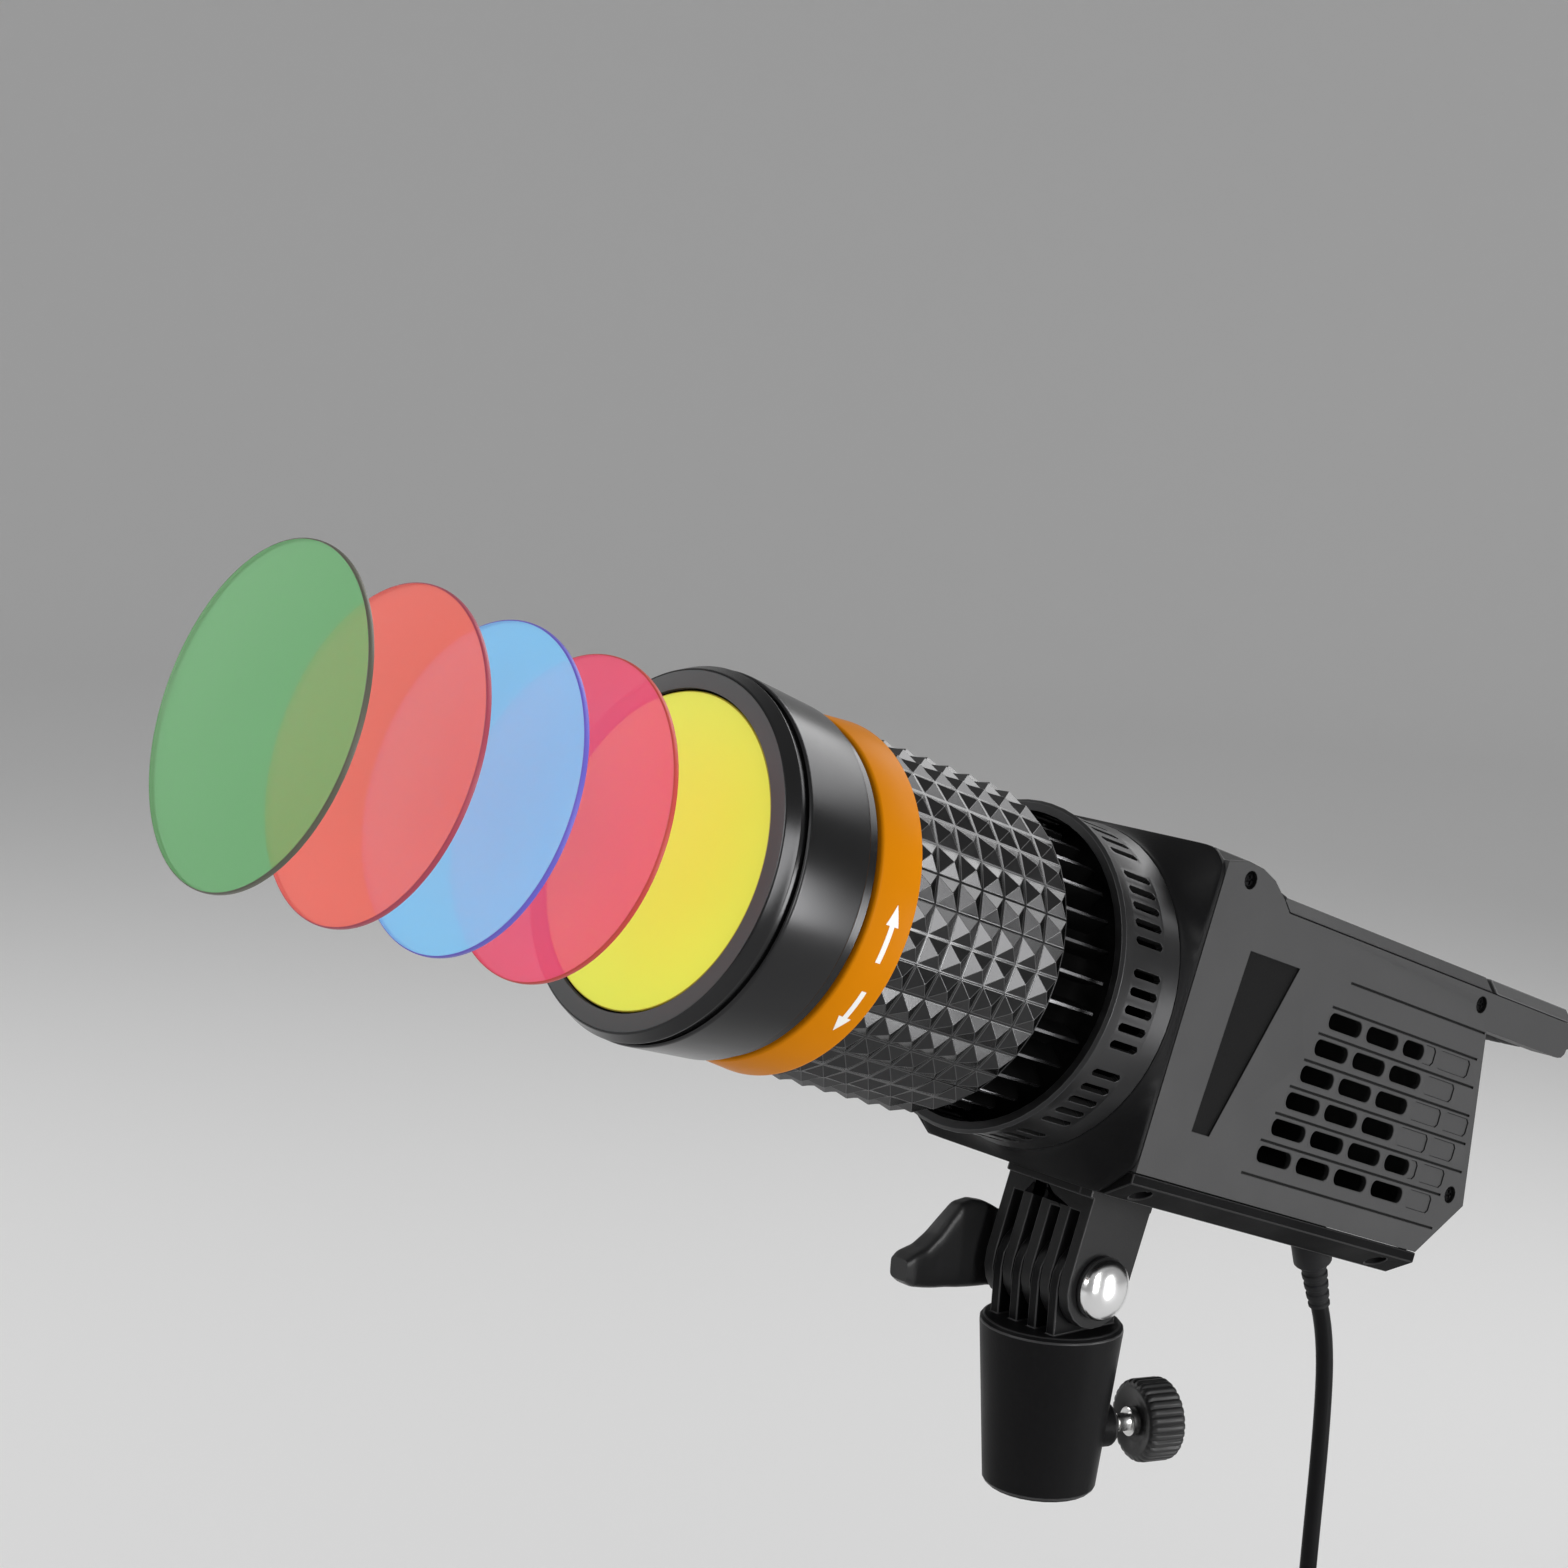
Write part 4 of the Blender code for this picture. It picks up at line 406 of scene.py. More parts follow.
for pin_name, offset in (("plug_pin_near", -pin_offset), ("plug_pin_far", pin_offset)):
    pin_grid = plug_top + (0, offset, 0) + lathe(np.array(pin_profile) * mm, 32)[..., (0, 2, 1)]
    pin_mesh = skin(pin_name, pin_grid, "open", 40)
    plug_pin = shown(pin_name, pin_mesh, pin_nickel, plug_black)
    middles = np.array([face.center.z for face in pin_mesh.polygons]) - plug_top[2]
    pin_mesh.polygons.foreach_set("material_index", (middles > sleeve_end).astype(np.int32))
    fit(plug_pin, "head", "stud_steel")
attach(mains_cord, "head")
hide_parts("cord_lead", "cord_coil", "cord_tail")


# Stand socket
# A die-cast aluminium cup with a fine black powder coat, bored from below. Four tines on its rim are its half of
# the hinge, and a boss at its side carries the clamp screw.
def roll_edges(piece, radius, corner, held=False):
    """Rolls each edge above `corner` degrees to a radius in the second material, held back near others if asked.
    Where that material is lighter than the faces it paints a highlight along the edges, and where darker it paints
    shade.
    """
    roll = piece.modifiers.new("rolled_edges", "BEVEL")
    roll.width = radius
    roll.segments = 2
    roll.limit_method = "ANGLE"
    roll.angle_limit = math.radians(corner)
    roll.use_clamp_overlap = held
    roll.harden_normals = True
    roll.material = 1


def rolled(node, radius, face_look, edge_look, turned_by=0.0):
    """A node's own form with its triangles joined into flat faces and its edges rolled. A form that repeats round
    the lamp's axis may be turned about it: (x, z) becomes (x cos a - z sin a, x sin a + z cos a)."""
    corner, doubles, bend = 30, 2e-6, math.radians(0.6)
    work = bmesh.new()
    work.from_mesh(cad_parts[node].data)
    bmesh.ops.remove_doubles(work, verts=work.verts, dist=doubles)
    bmesh.ops.dissolve_limit(work, angle_limit=bend, verts=work.verts, edges=work.edges)
    mesh = bpy.data.meshes.new(node + "_cast")
    work.to_mesh(mesh)
    work.free()
    if turned_by:
        spots = np.empty(3 * len(mesh.vertices))
        mesh.vertices.foreach_get("co", spots)
        x, y, z = in_lamp(spots.reshape(-1, 3)).T
        c, s = math.cos(turned_by), math.sin(turned_by)
        mesh.vertices.foreach_set("co", on_lamp(np.stack((x * c - z * s, y, x * s + z * c), axis=-1)).ravel())
        mesh.update()
    shade(mesh, corner)
    made = shown(node + "_cast", mesh, face_look, edge_look)
    roll_edges(made, radius, corner)
    return made


casting_black = finish("casting_black", (0.005, 0.005, 0.0054), 0.44, specular=0.09, grain=0.0009, relief=0.00005)
# The black castings' rolled edges are lighter: painted highlight.
casting_edge_highlight = finish("casting_edge_highlight", (0.026, 0.026, 0.027), 0.36, specular=0.35, grain=0.0009, relief=0.00003)
fit(rolled("stand_socket", 0.5 * mm, casting_black, casting_edge_highlight), "stand_mount", "black_paint", "stand_socket")

# Clamp screw
# A plated steel stud with a brass pad on its tip, screwed through the socket's boss. A black plastic knob with
# thirty fine ribs for the fingers is moulded on its head.
screw_turn = math.radians(15)
screw_height = 21 * mm
screw_way = np.array((math.sin(screw_turn), math.cos(screw_turn), 0))
screw_across = np.array((math.cos(screw_turn), -math.sin(screw_turn), 0))


def on_screw(grid):
    """The screw's own axis y set level across the socket, turned by its heading."""
    return (grid[..., :1] * screw_across + grid[..., 1:2] * screw_way + grid[..., 2:] * (0, 0, 1)
            + (0, 0, screw_height))


knob_ribs, knob_groove = 30, 0.8 * mm
knob_black = finish("knob_black", (0.018, 0.018, 0.0185), 0.38, specular=0.40, grain=0.0006, relief=0.00003)
# Rows of the knob: out along the screw, radius, and share of the grooves' depth.
knob_shape = np.array(((41.2, 0, 0), (41.2, 8.0, 0), (40.9, 8.6, 0), (39.7, 12.6, 0), (39.6, 13.2, 0),
                       (39.8, 13.9, 0.2), (40.3, 15.0, 0.7), (41.2, 15.7, 1), (42.4, 16, 1), (52.4, 16, 1),
                       (53.6, 15.7, 1), (54.5, 15.0, 0.7), (55.0, 13.9, 0.2), (55.2, 13.2, 0), (55.0, 12.4, 0),
                       (54.6, 11.6, 0), (54.4, 8.4, 0), (54.3, 7.8, 0), (54.3, 0, 0))) * (mm, mm, 1)
knob_angle = turns(knob_ribs * 10)
# Fine grooves: the radius drops by the groove's depth times the sixth power of |cos(15t)|.
flute = np.abs(np.cos(knob_angle * knob_ribs / 2)) ** 6 * knob_groove
knob_reach = knob_shape[:, 1:2] - flute * knob_shape[:, 2:]
knob_grid = np.stack((knob_reach * np.cos(knob_angle), knob_shape[:, :1] + 0 * knob_reach,
                      knob_reach * np.sin(knob_angle)), axis=-1)
put("clamp_knob_ribbed", on_screw(knob_grid), "open", 28, knob_black, "clamp_screw", "knob_plastic", "clamp_knob")

stud_plated = finish("stud_plated", (0.70, 0.70, 0.69), 0.22, metallic=1.0, mottle=0.06, spread=0.05)
# The thread is drawn as rings, four profile points to each pitch of 1.25 mm.
thread_pitch, thread_crest, thread_root = 1.25, 3.6, 3.15
thread_y = np.arange(13.6, 33.0, thread_pitch / 4)
thread_profile = [(13.6, 0), (13.6, 2.9)]
thread_profile += [(y, thread_crest if i % 4 in (1, 2) else thread_root) for i, y in enumerate(thread_y[1:], 1)]
thread_profile += [(33.2, 3.55), (37.4, 3.55), (37.5, 3.6), (37.5, 5.2), (37.8, 5.6), (40.4, 5.6), (40.8, 5.2),
                   (40.8, 0)]
put("clamp_stud_threaded", on_screw(lathe(np.array(thread_profile) * mm, 40)), "open", 35, stud_plated,
    "clamp_screw", "stud_steel", "clamp_stud")
pad_brass = finish("pad_brass", (0.60, 0.45, 0.17), 0.35, metallic=1.0, mottle=0.12)


def dress(node, look):
    """Lays a finish on a node's own form, which stays as it is."""
    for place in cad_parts[node].material_slots:
        place.material = look


dress("clamp_pad", pad_brass)

# Head bracket and hinge
# Five cast tines hang from a flange under the tray, between the socket's four. A chromed domed bolt goes through
# them all, with a black washer under its head, and a moulded lever on its far end clamps the stack.
bracket_black = finish("bracket_black", (0.013, 0.013, 0.0134), 0.42, specular=0.16, grain=0.0009, relief=0.00005)
fit(rolled("head_bracket", 0.4 * mm, bracket_black, casting_edge_highlight), "head", "black_paint", "head_bracket")
bolt_chrome = finish("bolt_chrome", (0.86, 0.86, 0.86), 0.20, metallic=1.0, mottle=0.03, spread=0.03, relief=0.000005)
dome_angle = np.radians(np.linspace(6, 90, 22))
bolt_profile = [(-24.0, 0), (-24.0, 4.3), (-23.6, 4.7), (24.25, 4.7), (24.25, 11.7), (24.45, 12.0), (25.5, 12.0),
                (25.75, 11.9)]
bolt_profile += [(25.65 + 5.2 * math.sin(a), 11.8 * math.cos(a)) for a in dome_angle]
hinge_bolt_grid = lathe(np.array(bolt_profile) * mm, 96)[..., (1, 0, 2)] + (0, 0, hinge_height)
put("hinge_bolt_dome", hinge_bolt_grid, "open", 40, bolt_chrome, "head", "chrome_bolt", "hinge_bolt")
washer_profile = np.array(((22.55, 5.2), (22.55, 11.8), (22.75, 12), (23.75, 12), (23.95, 11.8), (23.95, 5.2))) * mm
washer_grid = lathe(washer_profile, 64)[..., (1, 0, 2)] + (0, 0, hinge_height)
washer_black = finish("washer_black", (0.02, 0.02, 0.021), 0.38, metallic=0.4, grain=0.0004)
put("hinge_washer_turned", washer_grid, "ring", 30, washer_black, "head", "washer_black", "hinge_washer")

# Sections of the lever: distance forward of the bolt, top, bottom, and its inner and outer face from the middle.
lever_shape = np.array(((-14, 3, -3, 25, 33), (-11.5, 9, -8, 24.4, 34), (-6, 13.4, -12.4, 24.4, 34.6),
                        (0, 16, -13.2, 24.4, 35), (3, 16.4, -13.2, 24.4, 35.2), (6, 18.6, -13.1, 28.3, 35.6),
                        (10, 20.6, -13.0, 28.4, 36.2), (16, 22, -12.6, 28.6, 37), (22, 21, -12.0, 28.8, 37.8),
                        (27, 15.5, -11.4, 29.6, 39), (32, 9.5, -11.2, 30.4, 40.6), (37, 5.2, -10.6, 31, 42),
                        (43, 3.2, -9.4, 31.4, 43), (46, 1.4, -7.0, 32.6, 42))) * mm
lever_at = np.linspace(-14, 46, 73) * mm
lever_rows = np.stack([np.interp(lever_at, lever_shape[:, 0], lever_shape[:, k]) for k in range(1, 5)], axis=1)
lever_rows[1:-1] = (lever_rows[:-2] + 2 * lever_rows[1:-1] + lever_rows[2:]) / 4
top, bottom, inner, outer = (lever_rows[:, k:k + 1] for k in range(4))
lever_turn = turns(48)
# Each section is a soft box, |x/a|^5 + |z/b|^5 = 1, and the two end sections are drawn in.
lever_round = power_round(lever_turn, 5)
lever_grid = np.stack((-(outer + inner) / 2 + (outer - inner) / 2 * np.cos(lever_turn) * lever_round,
                       -lever_at[:, None] + 0 * lever_turn + 0 * top,
                       (top + bottom) / 2 + (top - bottom) / 2 * np.sin(lever_turn) * lever_round
                       + hinge_height), axis=-1)
lever_black = finish("lever_black", (0.014, 0.014, 0.0145), 0.36, specular=0.36, grain=0.0012, relief=0.00004)
put("lock_lever_moulded", lever_grid, "capped", 40, lever_black, "lock_lever", "knob_plastic", "lock_lever")

# Tray and housing floor
# A tray of folded steel sheet, painted black, with chamfered sides. It closes the housing below, and four black
# screws sunk in its floor hold it.
tray_black = finish("tray_black", (0.004, 0.004, 0.0043), 0.58, specular=0.05, grain=0.0008, relief=0.00004)
# The black sheet parts' rolled edges are lighter: painted highlight.
tray_edge_highlight = finish("tray_edge_highlight", (0.015, 0.015, 0.0155), 0.44, specular=0.22, relief=0.00002)
fit(rolled("bottom_tray", 0.5 * mm, tray_black, tray_edge_highlight), "head", "black_paint", "bottom_tray")
screw_steel = finish("screw_steel", (0.004, 0.004, 0.0043), 0.38, metallic=0.8, specular=0.06, mottle=0.2,
                     grain=0.0004)


def screw_head(name, middle, way, radius, height, node):
    """A pan head with a cross recess: height h(1 - 0.45 (r/R)^4) over the disc, less a cross of two slots with
    eased sides, 0.17 R to each side and 0.62 R long."""
    way = np.asarray(way, float)
    side = np.cross(way, (0, 1, 0) if abs(way[1]) < 0.9 else (1, 0, 0))
    side /= np.linalg.norm(side)
    across = np.cross(way, side)
    r = np.concatenate((np.linspace(0, 0.94, 22), (0.98, 1.0, 1.0)))[:, None]
    t = turns(48)
    x, y = r * np.cos(t), r * np.sin(t)
    arm = np.minimum(np.abs(x), np.abs(y))
    span = np.maximum(np.abs(x), np.abs(y))
    recess = ease(0.17 - arm, -0.04, 0.04) * ease(0.62 - span, -0.05, 0.05)
    lift = height * (1 - 0.45 * np.minimum(r, 1) ** 4) * np.ones_like(t) - recess * height * 0.62
    lift[-1] = 0
    grid = (np.asarray(middle, float) + (x * radius)[..., None] * side + (y * radius)[..., None] * across
            + lift[..., None] * way)
    put(name, grid, "capped", 35, screw_steel, "head", "screw_black", node)


lamp_down = on_lamp((0, 0, -1)) - on_lamp((0, 0, 0))
head_level, tray_head_radius, tray_head_height = -60.5 * mm, 3.15 * mm, 1.35 * mm
for number in range(1, 5):
    low, high = (np.array(corner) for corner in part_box("tray_screw_" + str(number)))
    middle = in_lamp((low + high) / 2)
    screw_head("tray_screw_head_" + str(number), on_lamp((middle[0], middle[1], head_level)), lamp_down,
               tray_head_radius, tray_head_height, "tray_screw_" + str(number))

# Side panels
# Pressed aluminium sheet with a grey powder coat: a tapered recess, and rows of vents each under a louvre line.
# Three black screws in pockets hold each panel. Left and right are mirrored.
panel_grey = finish("panel_grey", (0.047, 0.047, 0.048), 0.52, specular=0.24, mottle=0.06, patch=0.02, grain=0.0008,
                    relief=0.00004)
# The side panels' rolled edges, the louvre lines among them, are darker: painted shade.
panel_line_shade = finish("panel_line_shade", (0.018, 0.018, 0.0185), 0.50, specular=0.12, relief=0.00002)
# The handle arms' rolled edges are lighter: painted highlight.
panel_rim_highlight = finish("panel_rim_highlight", (0.088, 0.088, 0.090), 0.46, specular=0.35, relief=0.00002)
recess_grey = finish("recess_grey", (0.008, 0.008, 0.0082), 0.62, specular=0.06, mottle=0.35, patch=0.004,
                     grain=0.0010, relief=0.0001)
# Black laid on the walls of vents, slots and recesses where shade falls: painted shade.
painted_shade_black = finish("painted_shade_black", (0.006, 0.006, 0.006), 0.7, specular=0.15)
# Vents, in millimetres: the first one's start, the pitch along a row, down to the next row and each row's lean.
vent_start, vent_pitch, row_pitch, row_lean = np.array((80.8, 18.6)), 24.2, 11.05, 3.7
vent_length, vent_height, vent_corner = 21.4, 7.2, 2.9
outline_steps = 44


def round_box(half_u, half_v, radius):
    """Outline of a box with round corners: a quarter of its points turn round each corner's middle."""
    quarter, step = np.divmod(np.arange(outline_steps), outline_steps // 4)
    t = (quarter + step / (outline_steps // 4 - 1)) * math.pi / 2
    u_side = np.where((quarter == 0) | (quarter == 3), 1, -1)
    v_side = np.where(quarter < 2, 1, -1)
    return np.stack((u_side * (half_u - radius) + radius * np.cos(t),
                     v_side * (half_v - radius) + radius * np.sin(t)), axis=-1)


def vent_lips(side):
    """Grids of the drawn lips of one panel's vents. A lip is a round-cornered outline on the panel's face that
    rolls inwards to a smaller one and runs back through the sheet. Its rows are (growth, corner, place across)."""
    lips = []
    for row in range(6):
        for column in range(3 if row < 4 else 4):
            cut_short = {(0, 2): 6.8, (4, 3): 4.4}.get((row, column), 0)
            half = (vent_length - cut_short) / 2
            middle = vent_start + (vent_pitch * column - row_lean * row + half, -row_pitch * row)
            loops = [(0.45, 1.9, 57.0), (0.45, 1.9, 57.93), (-0.15, vent_corner, 57.93), (-0.35, vent_corner, 57.83),
                     (-0.45, vent_corner, 57.6), (-0.45, vent_corner, 55.5)]
            rims = [np.column_stack((np.full(outline_steps, side * x), middle
                                     + round_box(half + grow, vent_height / 2 + grow, radius)))
                    for grow, radius, x in loops]
            lips.append(on_lamp(np.array(rims) * mm))
    return lips


def faces_in_lamp(mesh):
    """Middles and outward ways of a mesh's faces, in lamp coordinates."""
    middles = np.array([face.center for face in mesh.polygons])
    ways = np.array([face.normal for face in mesh.polygons])
    return in_lamp(middles), in_lamp(middles + ways) - in_lamp(middles)


def look_of(mesh, look):
    """Sets the material number of every face."""
    mesh.polygons.foreach_set("material_index", look.astype(np.int32))


# Distances across from the middle of the lamp, in millimetres: the sheet's back, the floors of the blank vents, and
# the two depths between which a wall is shallow.
sheet_back, blank_floor, deep, shallow = 55.6, 57.4, 57.6, 57.8
# The field of all the vents and the recess, and the recess alone: back from the panel's front, and up.
field_y, field_z, recess_y, recess_z = (10, 192), (-47, 60), (22, 57), (-37, 33)
panel_head_radius, panel_head_share = 2.8 * mm, 0.95
for side, label in ((1, "right"), (-1, "left")):
    lip_grid = np.array(vent_lips(side))
    here = np.arange(lip_grid[..., 0].size).reshape(lip_grid.shape[:3])
    after, below = np.roll(here, -1, axis=2), np.roll(here, -1, axis=1)
    lip_faces = np.stack((here, after, np.roll(below, -1, axis=2), below), axis=-1).reshape(-1, 4)
    lip_mesh = mesh_of("vent_lips_" + label, lip_grid, lip_faces.tolist(), 40)
    # The band where each lip runs back through the sheet is painted black: painted shade inside the vents.
    look_of(lip_mesh, np.arange(len(lip_faces)) // outline_steps % lip_grid.shape[1] == 4)
    fit(shown("vent_lips_" + label, lip_mesh, panel_grey, painted_shade_black), "head", "panel_paint")
    panel = rolled("side_panel_" + label, 0.14 * mm, panel_grey, panel_line_shade)
    panel.data.materials.append(recess_grey)
    panel.data.materials.append(painted_shade_black)
    middles, ways = faces_in_lamp(panel.data)
    x, y, z = (np.abs(middles) * (1, 0, 0) + middles * (0, 1, 1)).T / mm
    flat = np.abs(ways[:, 0]) > 0.9
    inside = (y > field_y[0]) & (y < field_y[1]) & (z > field_z[0]) & (z < field_z[1])
    in_recess = (x < deep) & (y > recess_y[0]) & (y < recess_y[1]) & (z > recess_z[0]) & (z < recess_z[1])
    # The floors of the blank vents, 0.5 mm down, keep the panel's paint, and so do their front and lower walls.
    # Every other sunk face is painted black as painted shade.
    shade_painted_faces = inside & ~in_recess & (x > sheet_back) & (x < deep) & ~(flat & (np.abs(x - blank_floor) < 0.05))
    shade_painted_faces |= inside & ~flat & (x >= deep) & (x < shallow) & ((ways[:, 1] < -0.3) | (ways[:, 2] < -0.6))
    # Painted shade: the shaded faces and the recess's walls take the black, and the recess's floor its own darker
    # grey.
    look_of(panel.data, np.where(in_recess & flat, 2, np.where(shade_painted_faces | (in_recess & ~flat), 3, 0)))
    fit(panel, "head", "panel_paint", "side_panel_" + label)
    for number in range(1, 4):
        node = "panel_screw_" + label + "_" + str(number)
        low, high = (np.array(corner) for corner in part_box(node))
        middle = (low + high) / 2
        back = low[0] if side > 0 else high[0]
        screw_head(node + "_head", (back, middle[1], middle[2]), (side, 0, 0), panel_head_radius,
                   float(high[0] - low[0]) * panel_head_share, node)

# Top cover and front hood
# Folded steel sheet, painted black, that meets the panels along their tops. A cast hood at its front runs down to
# the round shell.
cover_black = finish("cover_black", (0.022, 0.022, 0.023), 0.48, specular=0.25, grain=0.0008, relief=0.00004)
fit(rolled("top_cover", 0.6 * mm, cover_black, tray_edge_highlight), "head", "panel_paint", "top_cover")
fit(rolled("front_hood", 0.6 * mm, casting_black, casting_edge_highlight), "head", "black_paint", "front_hood")

# Rear panel and its controls
# A flat black panel, canted back, that closes the housing behind. It carries a display window, a dimmer knob over a
# printed ring of ticks, and a rocker switch snapped into a raised rim.
fit(rolled("rear_panel", 0.5 * mm, cover_black, tray_edge_highlight), "head", "black_paint", "rear_panel")
window_glass = finish("window_glass", (0.008, 0.010, 0.014), 0.06, specular=0.6, mottle=0.05, spread=0.02, relief=0.0)
fit(rolled("display_window", 0.25 * mm, window_glass, window_glass), "head", "window", "display_window")
fit(rolled("rocker_rim", 0.25 * mm, knob_black, knob_black), "head", "knob_plastic", "rocker_rim")
fit(rolled("power_rocker", 0.3 * mm, plug_black, plug_black), "power_rocker", "knob_plastic", "power_rocker")
rear_cant, rear_y, rear_z = math.atan2(17.9, 68.8), 187.38, -2.0


def on_rear(points):
    """Points (x, out of the panel, up it) in millimetres, laid on the canted rear panel: out and up are turned by
    the cant about x and shifted to the controls' height."""
    x, out, up = np.moveaxis(np.asarray(points, float), -1, 0)
    c, s = math.cos(rear_cant), math.sin(rear_cant)
    return on_lamp(np.stack((x, rear_y + out * c - up * s, rear_z + out * s + up * c), axis=-1) * mm)


dial_x, dial_flutes, dial_groove = 26.0, 18, 0.7
# Rows of the dimmer knob: out, radius, and share of the flutes' depth.
dial_rows = np.array(((0.3, 0, 0), (0.3, 10.7, 0.6), (0.6, 11.0, 1), (10.4, 10.7, 1), (11.2, 10.4, 0.8),
                      (11.7, 10.0, 0.3), (12.0, 9.3, 0), (12.0, 7.0, 0), (11.6, 6.4, 0), (11.6, 0, 0)))
dial_angle = turns(dial_flutes * 12)
# Round flutes: the radius drops by the groove's depth times the fourth power of |cos(9t)|.
dial_reach = dial_rows[:, 1:2] - dial_groove * dial_rows[:, 2:] * np.abs(np.cos(dial_angle * dial_flutes / 2)) ** 4
dial_grid = np.stack((dial_x + dial_reach * np.cos(dial_angle), dial_rows[:, :1] + 0 * dial_reach,
                      dial_reach * np.sin(dial_angle)), axis=-1)
put("dimmer_knob_fluted", on_rear(dial_grid), "open", 30, knob_black, "dimmer_knob", "knob_plastic", "dimmer_knob")
print_white = finish("print_white", (0.62, 0.62, 0.60), 0.55, mottle=0.05)


def bars(name, middle_x, inner, outer, half, angles, low, high):
    """Printed bars that point outwards round a middle on the rear panel. Each is a flat box from the inner to the
    outer radius, `half` wide to each side, turned to its angle in degrees from straight up."""
    turn = np.radians(angles)[:, None, None]
    r = np.array((inner, inner, outer, outer))
    w = np.array((-half, half, half, -half))
    out = np.array((low, high))[:, None]
    box = np.stack((middle_x + r * np.sin(turn) + w * np.cos(turn) + 0 * out, out + 0 * r + 0 * turn,
                    r * np.cos(turn) - w * np.sin(turn) + 0 * out), axis=-1)
    corner = np.arange(len(angles))[:, None] * 8
    sides = np.array(((0, 1, 2, 3), (7, 6, 5, 4), (0, 4, 5, 1), (1, 5, 6, 2), (2, 6, 7, 3), (3, 7, 4, 0)))
    faces = (corner[:, :, None] + sides).reshape(-1, 4).tolist()
    return shown(name, mesh_of(name, on_rear(box), faces, 40), print_white)


rocker_x, mark_offset = -28.0, 4.8
fit(bars("dimmer_scale", dial_x, 12.6, 14.6, 0.35, np.linspace(-135, 135, 11), -0.05, 0.12), "head", "window")
fit(bars("dimmer_pointer", dial_x, 3.2, 8.8, 0.45, np.array((0.0,)), 11.5, 12.1), "dimmer_knob", "window")
fit(bars("switch_mark_on", rocker_x - mark_offset, -2.3, 2.3, 0.4, np.array((0.0,)), 3.0, 3.86), "power_rocker",
    "window")
ring_turn = turns(48)
ring_rows = np.array(((1.5, -0.15), (1.5, 0.1), (2.2, 0.1), (2.2, -0.15)))
ring_x = ring_rows[:, :1] * np.cos(ring_turn)
# The off mark is a ring laid on the rocker's right half, which rises by 2.4 mm over 9.1 mm.
mark_grid = np.stack((rocker_x + mark_offset + ring_x, 3.1 + (mark_offset + ring_x) * 2.4 / 9.1 + ring_rows[:, 1:],
                      ring_rows[:, :1] * np.sin(ring_turn)), axis=-1)
put("switch_mark_off", on_rear(mark_grid), "ring", 40, print_white, "power_rocker", "window")

# Rear handle
# Two flat arms of coated aluminium run on from the panels and hold a bar between them. A sleeve of black rubber,
# ringed with fine grooves, is drawn over the bar.
for label in ("right", "left"):
    fit(rolled("handle_arm_" + label, 0.6 * mm, panel_grey, panel_rim_highlight), "head", "panel_paint", "handle_arm_" + label)
grip_rubber = finish("grip_rubber", (0.022, 0.022, 0.023), 0.66, specular=0.3, grain=0.0014, relief=0.00010)
bar_at = np.linspace(-1, 1, 121)[:, None]
bar_angle = turns(72)
bar_low, bar_high = (np.array(corner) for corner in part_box("handle_bar"))
bar_half, bar_reach = (bar_high[0] - bar_low[0]) / 2, (bar_high[1] - bar_low[1]) / 2
bar_middle = (bar_low + bar_high) / 2
# The bar swells by 1.1 mm to its middle, as a cosine. Grooves 0.5 mm deep ring it where the 24th power of a cosine
# is near 1, and its two ends are drawn in.
bar_groove = np.abs(np.cos(bar_at * math.pi * 6.5)) ** 24 * (np.abs(bar_at) < 0.88) * 0.5 * mm
bar_radius = bar_reach - 1.1 * mm * (1 - np.cos(bar_at * math.pi / 2)) - bar_groove
bar_radius = bar_radius - np.clip(np.abs(bar_at) - 0.97, 0, 1) * 30 * mm
bar_grid = np.stack((bar_at * bar_half + 0 * bar_angle, bar_radius * np.cos(bar_angle),
                     bar_radius * np.sin(bar_angle)), axis=-1) + bar_middle
put("handle_bar_cover", bar_grid, "capped", 50, grip_rubber, "head", "grip_rubber", "handle_bar")

# Front shell
# A black powder-coated casting that passes from the square housing to the round collar. The panels meet its
# rear, and the collar is seated on its front.
shell_x, shell_z = np.cos(turns(240)), np.sin(turns(240))
shell_half, shell_top, shell_bottom, low_cut, top_cut = 57.9, 64.0, 67.0, 13.0, 6.5
# The square end as the nearest of its sides and cut corners, each a line at its own distance from the axis. The
# sixtieth power mean takes the least of them and rounds where two meet.
shell_sides = ((np.abs(shell_x), shell_half), (shell_z, shell_top), (-shell_z, shell_bottom),
               (np.abs(shell_x) - shell_z, shell_half + shell_bottom - low_cut),
               (np.abs(shell_x) + shell_z, shell_half + shell_top - top_cut))
shell_square = sum((np.clip(share, 0, None) / limit) ** 60 for share, limit in shell_sides) ** (-1 / 60)
# Rows of the shell: place along the axis, radius at the round end, and share of the way to the square end.
shell_rows = [(-10.4, 57.0, 0), (-10.4, 61.6, 0), (-10.25, 61.9, 0.01)]
shell_rows += [(-10.2 + 8.4 * s, 62.0, 0.02 + 0.98 * s ** 1.7) for s in np.linspace(0.02, 0.98, 14)]
shell_rows += [(-1.75, 62.0, 0.985), (-1.5, 62.0, 0.998), (-0.3, 62.0, 1.0), (-0.3, 57.0, 0)]
shell_y, shell_round, shell_share = (np.array(column)[:, None] for column in zip(*shell_rows))
shell_reach = shell_round + (shell_square - shell_round) * shell_share
shell_grid = on_lamp(np.stack((shell_reach * shell_x, shell_y + 0 * shell_reach,
                               shell_reach * shell_z), axis=-1) * mm)
put("front_shell_cast", shell_grid, "ring", 40, casting_black, "head", "black_paint", "front_shell")

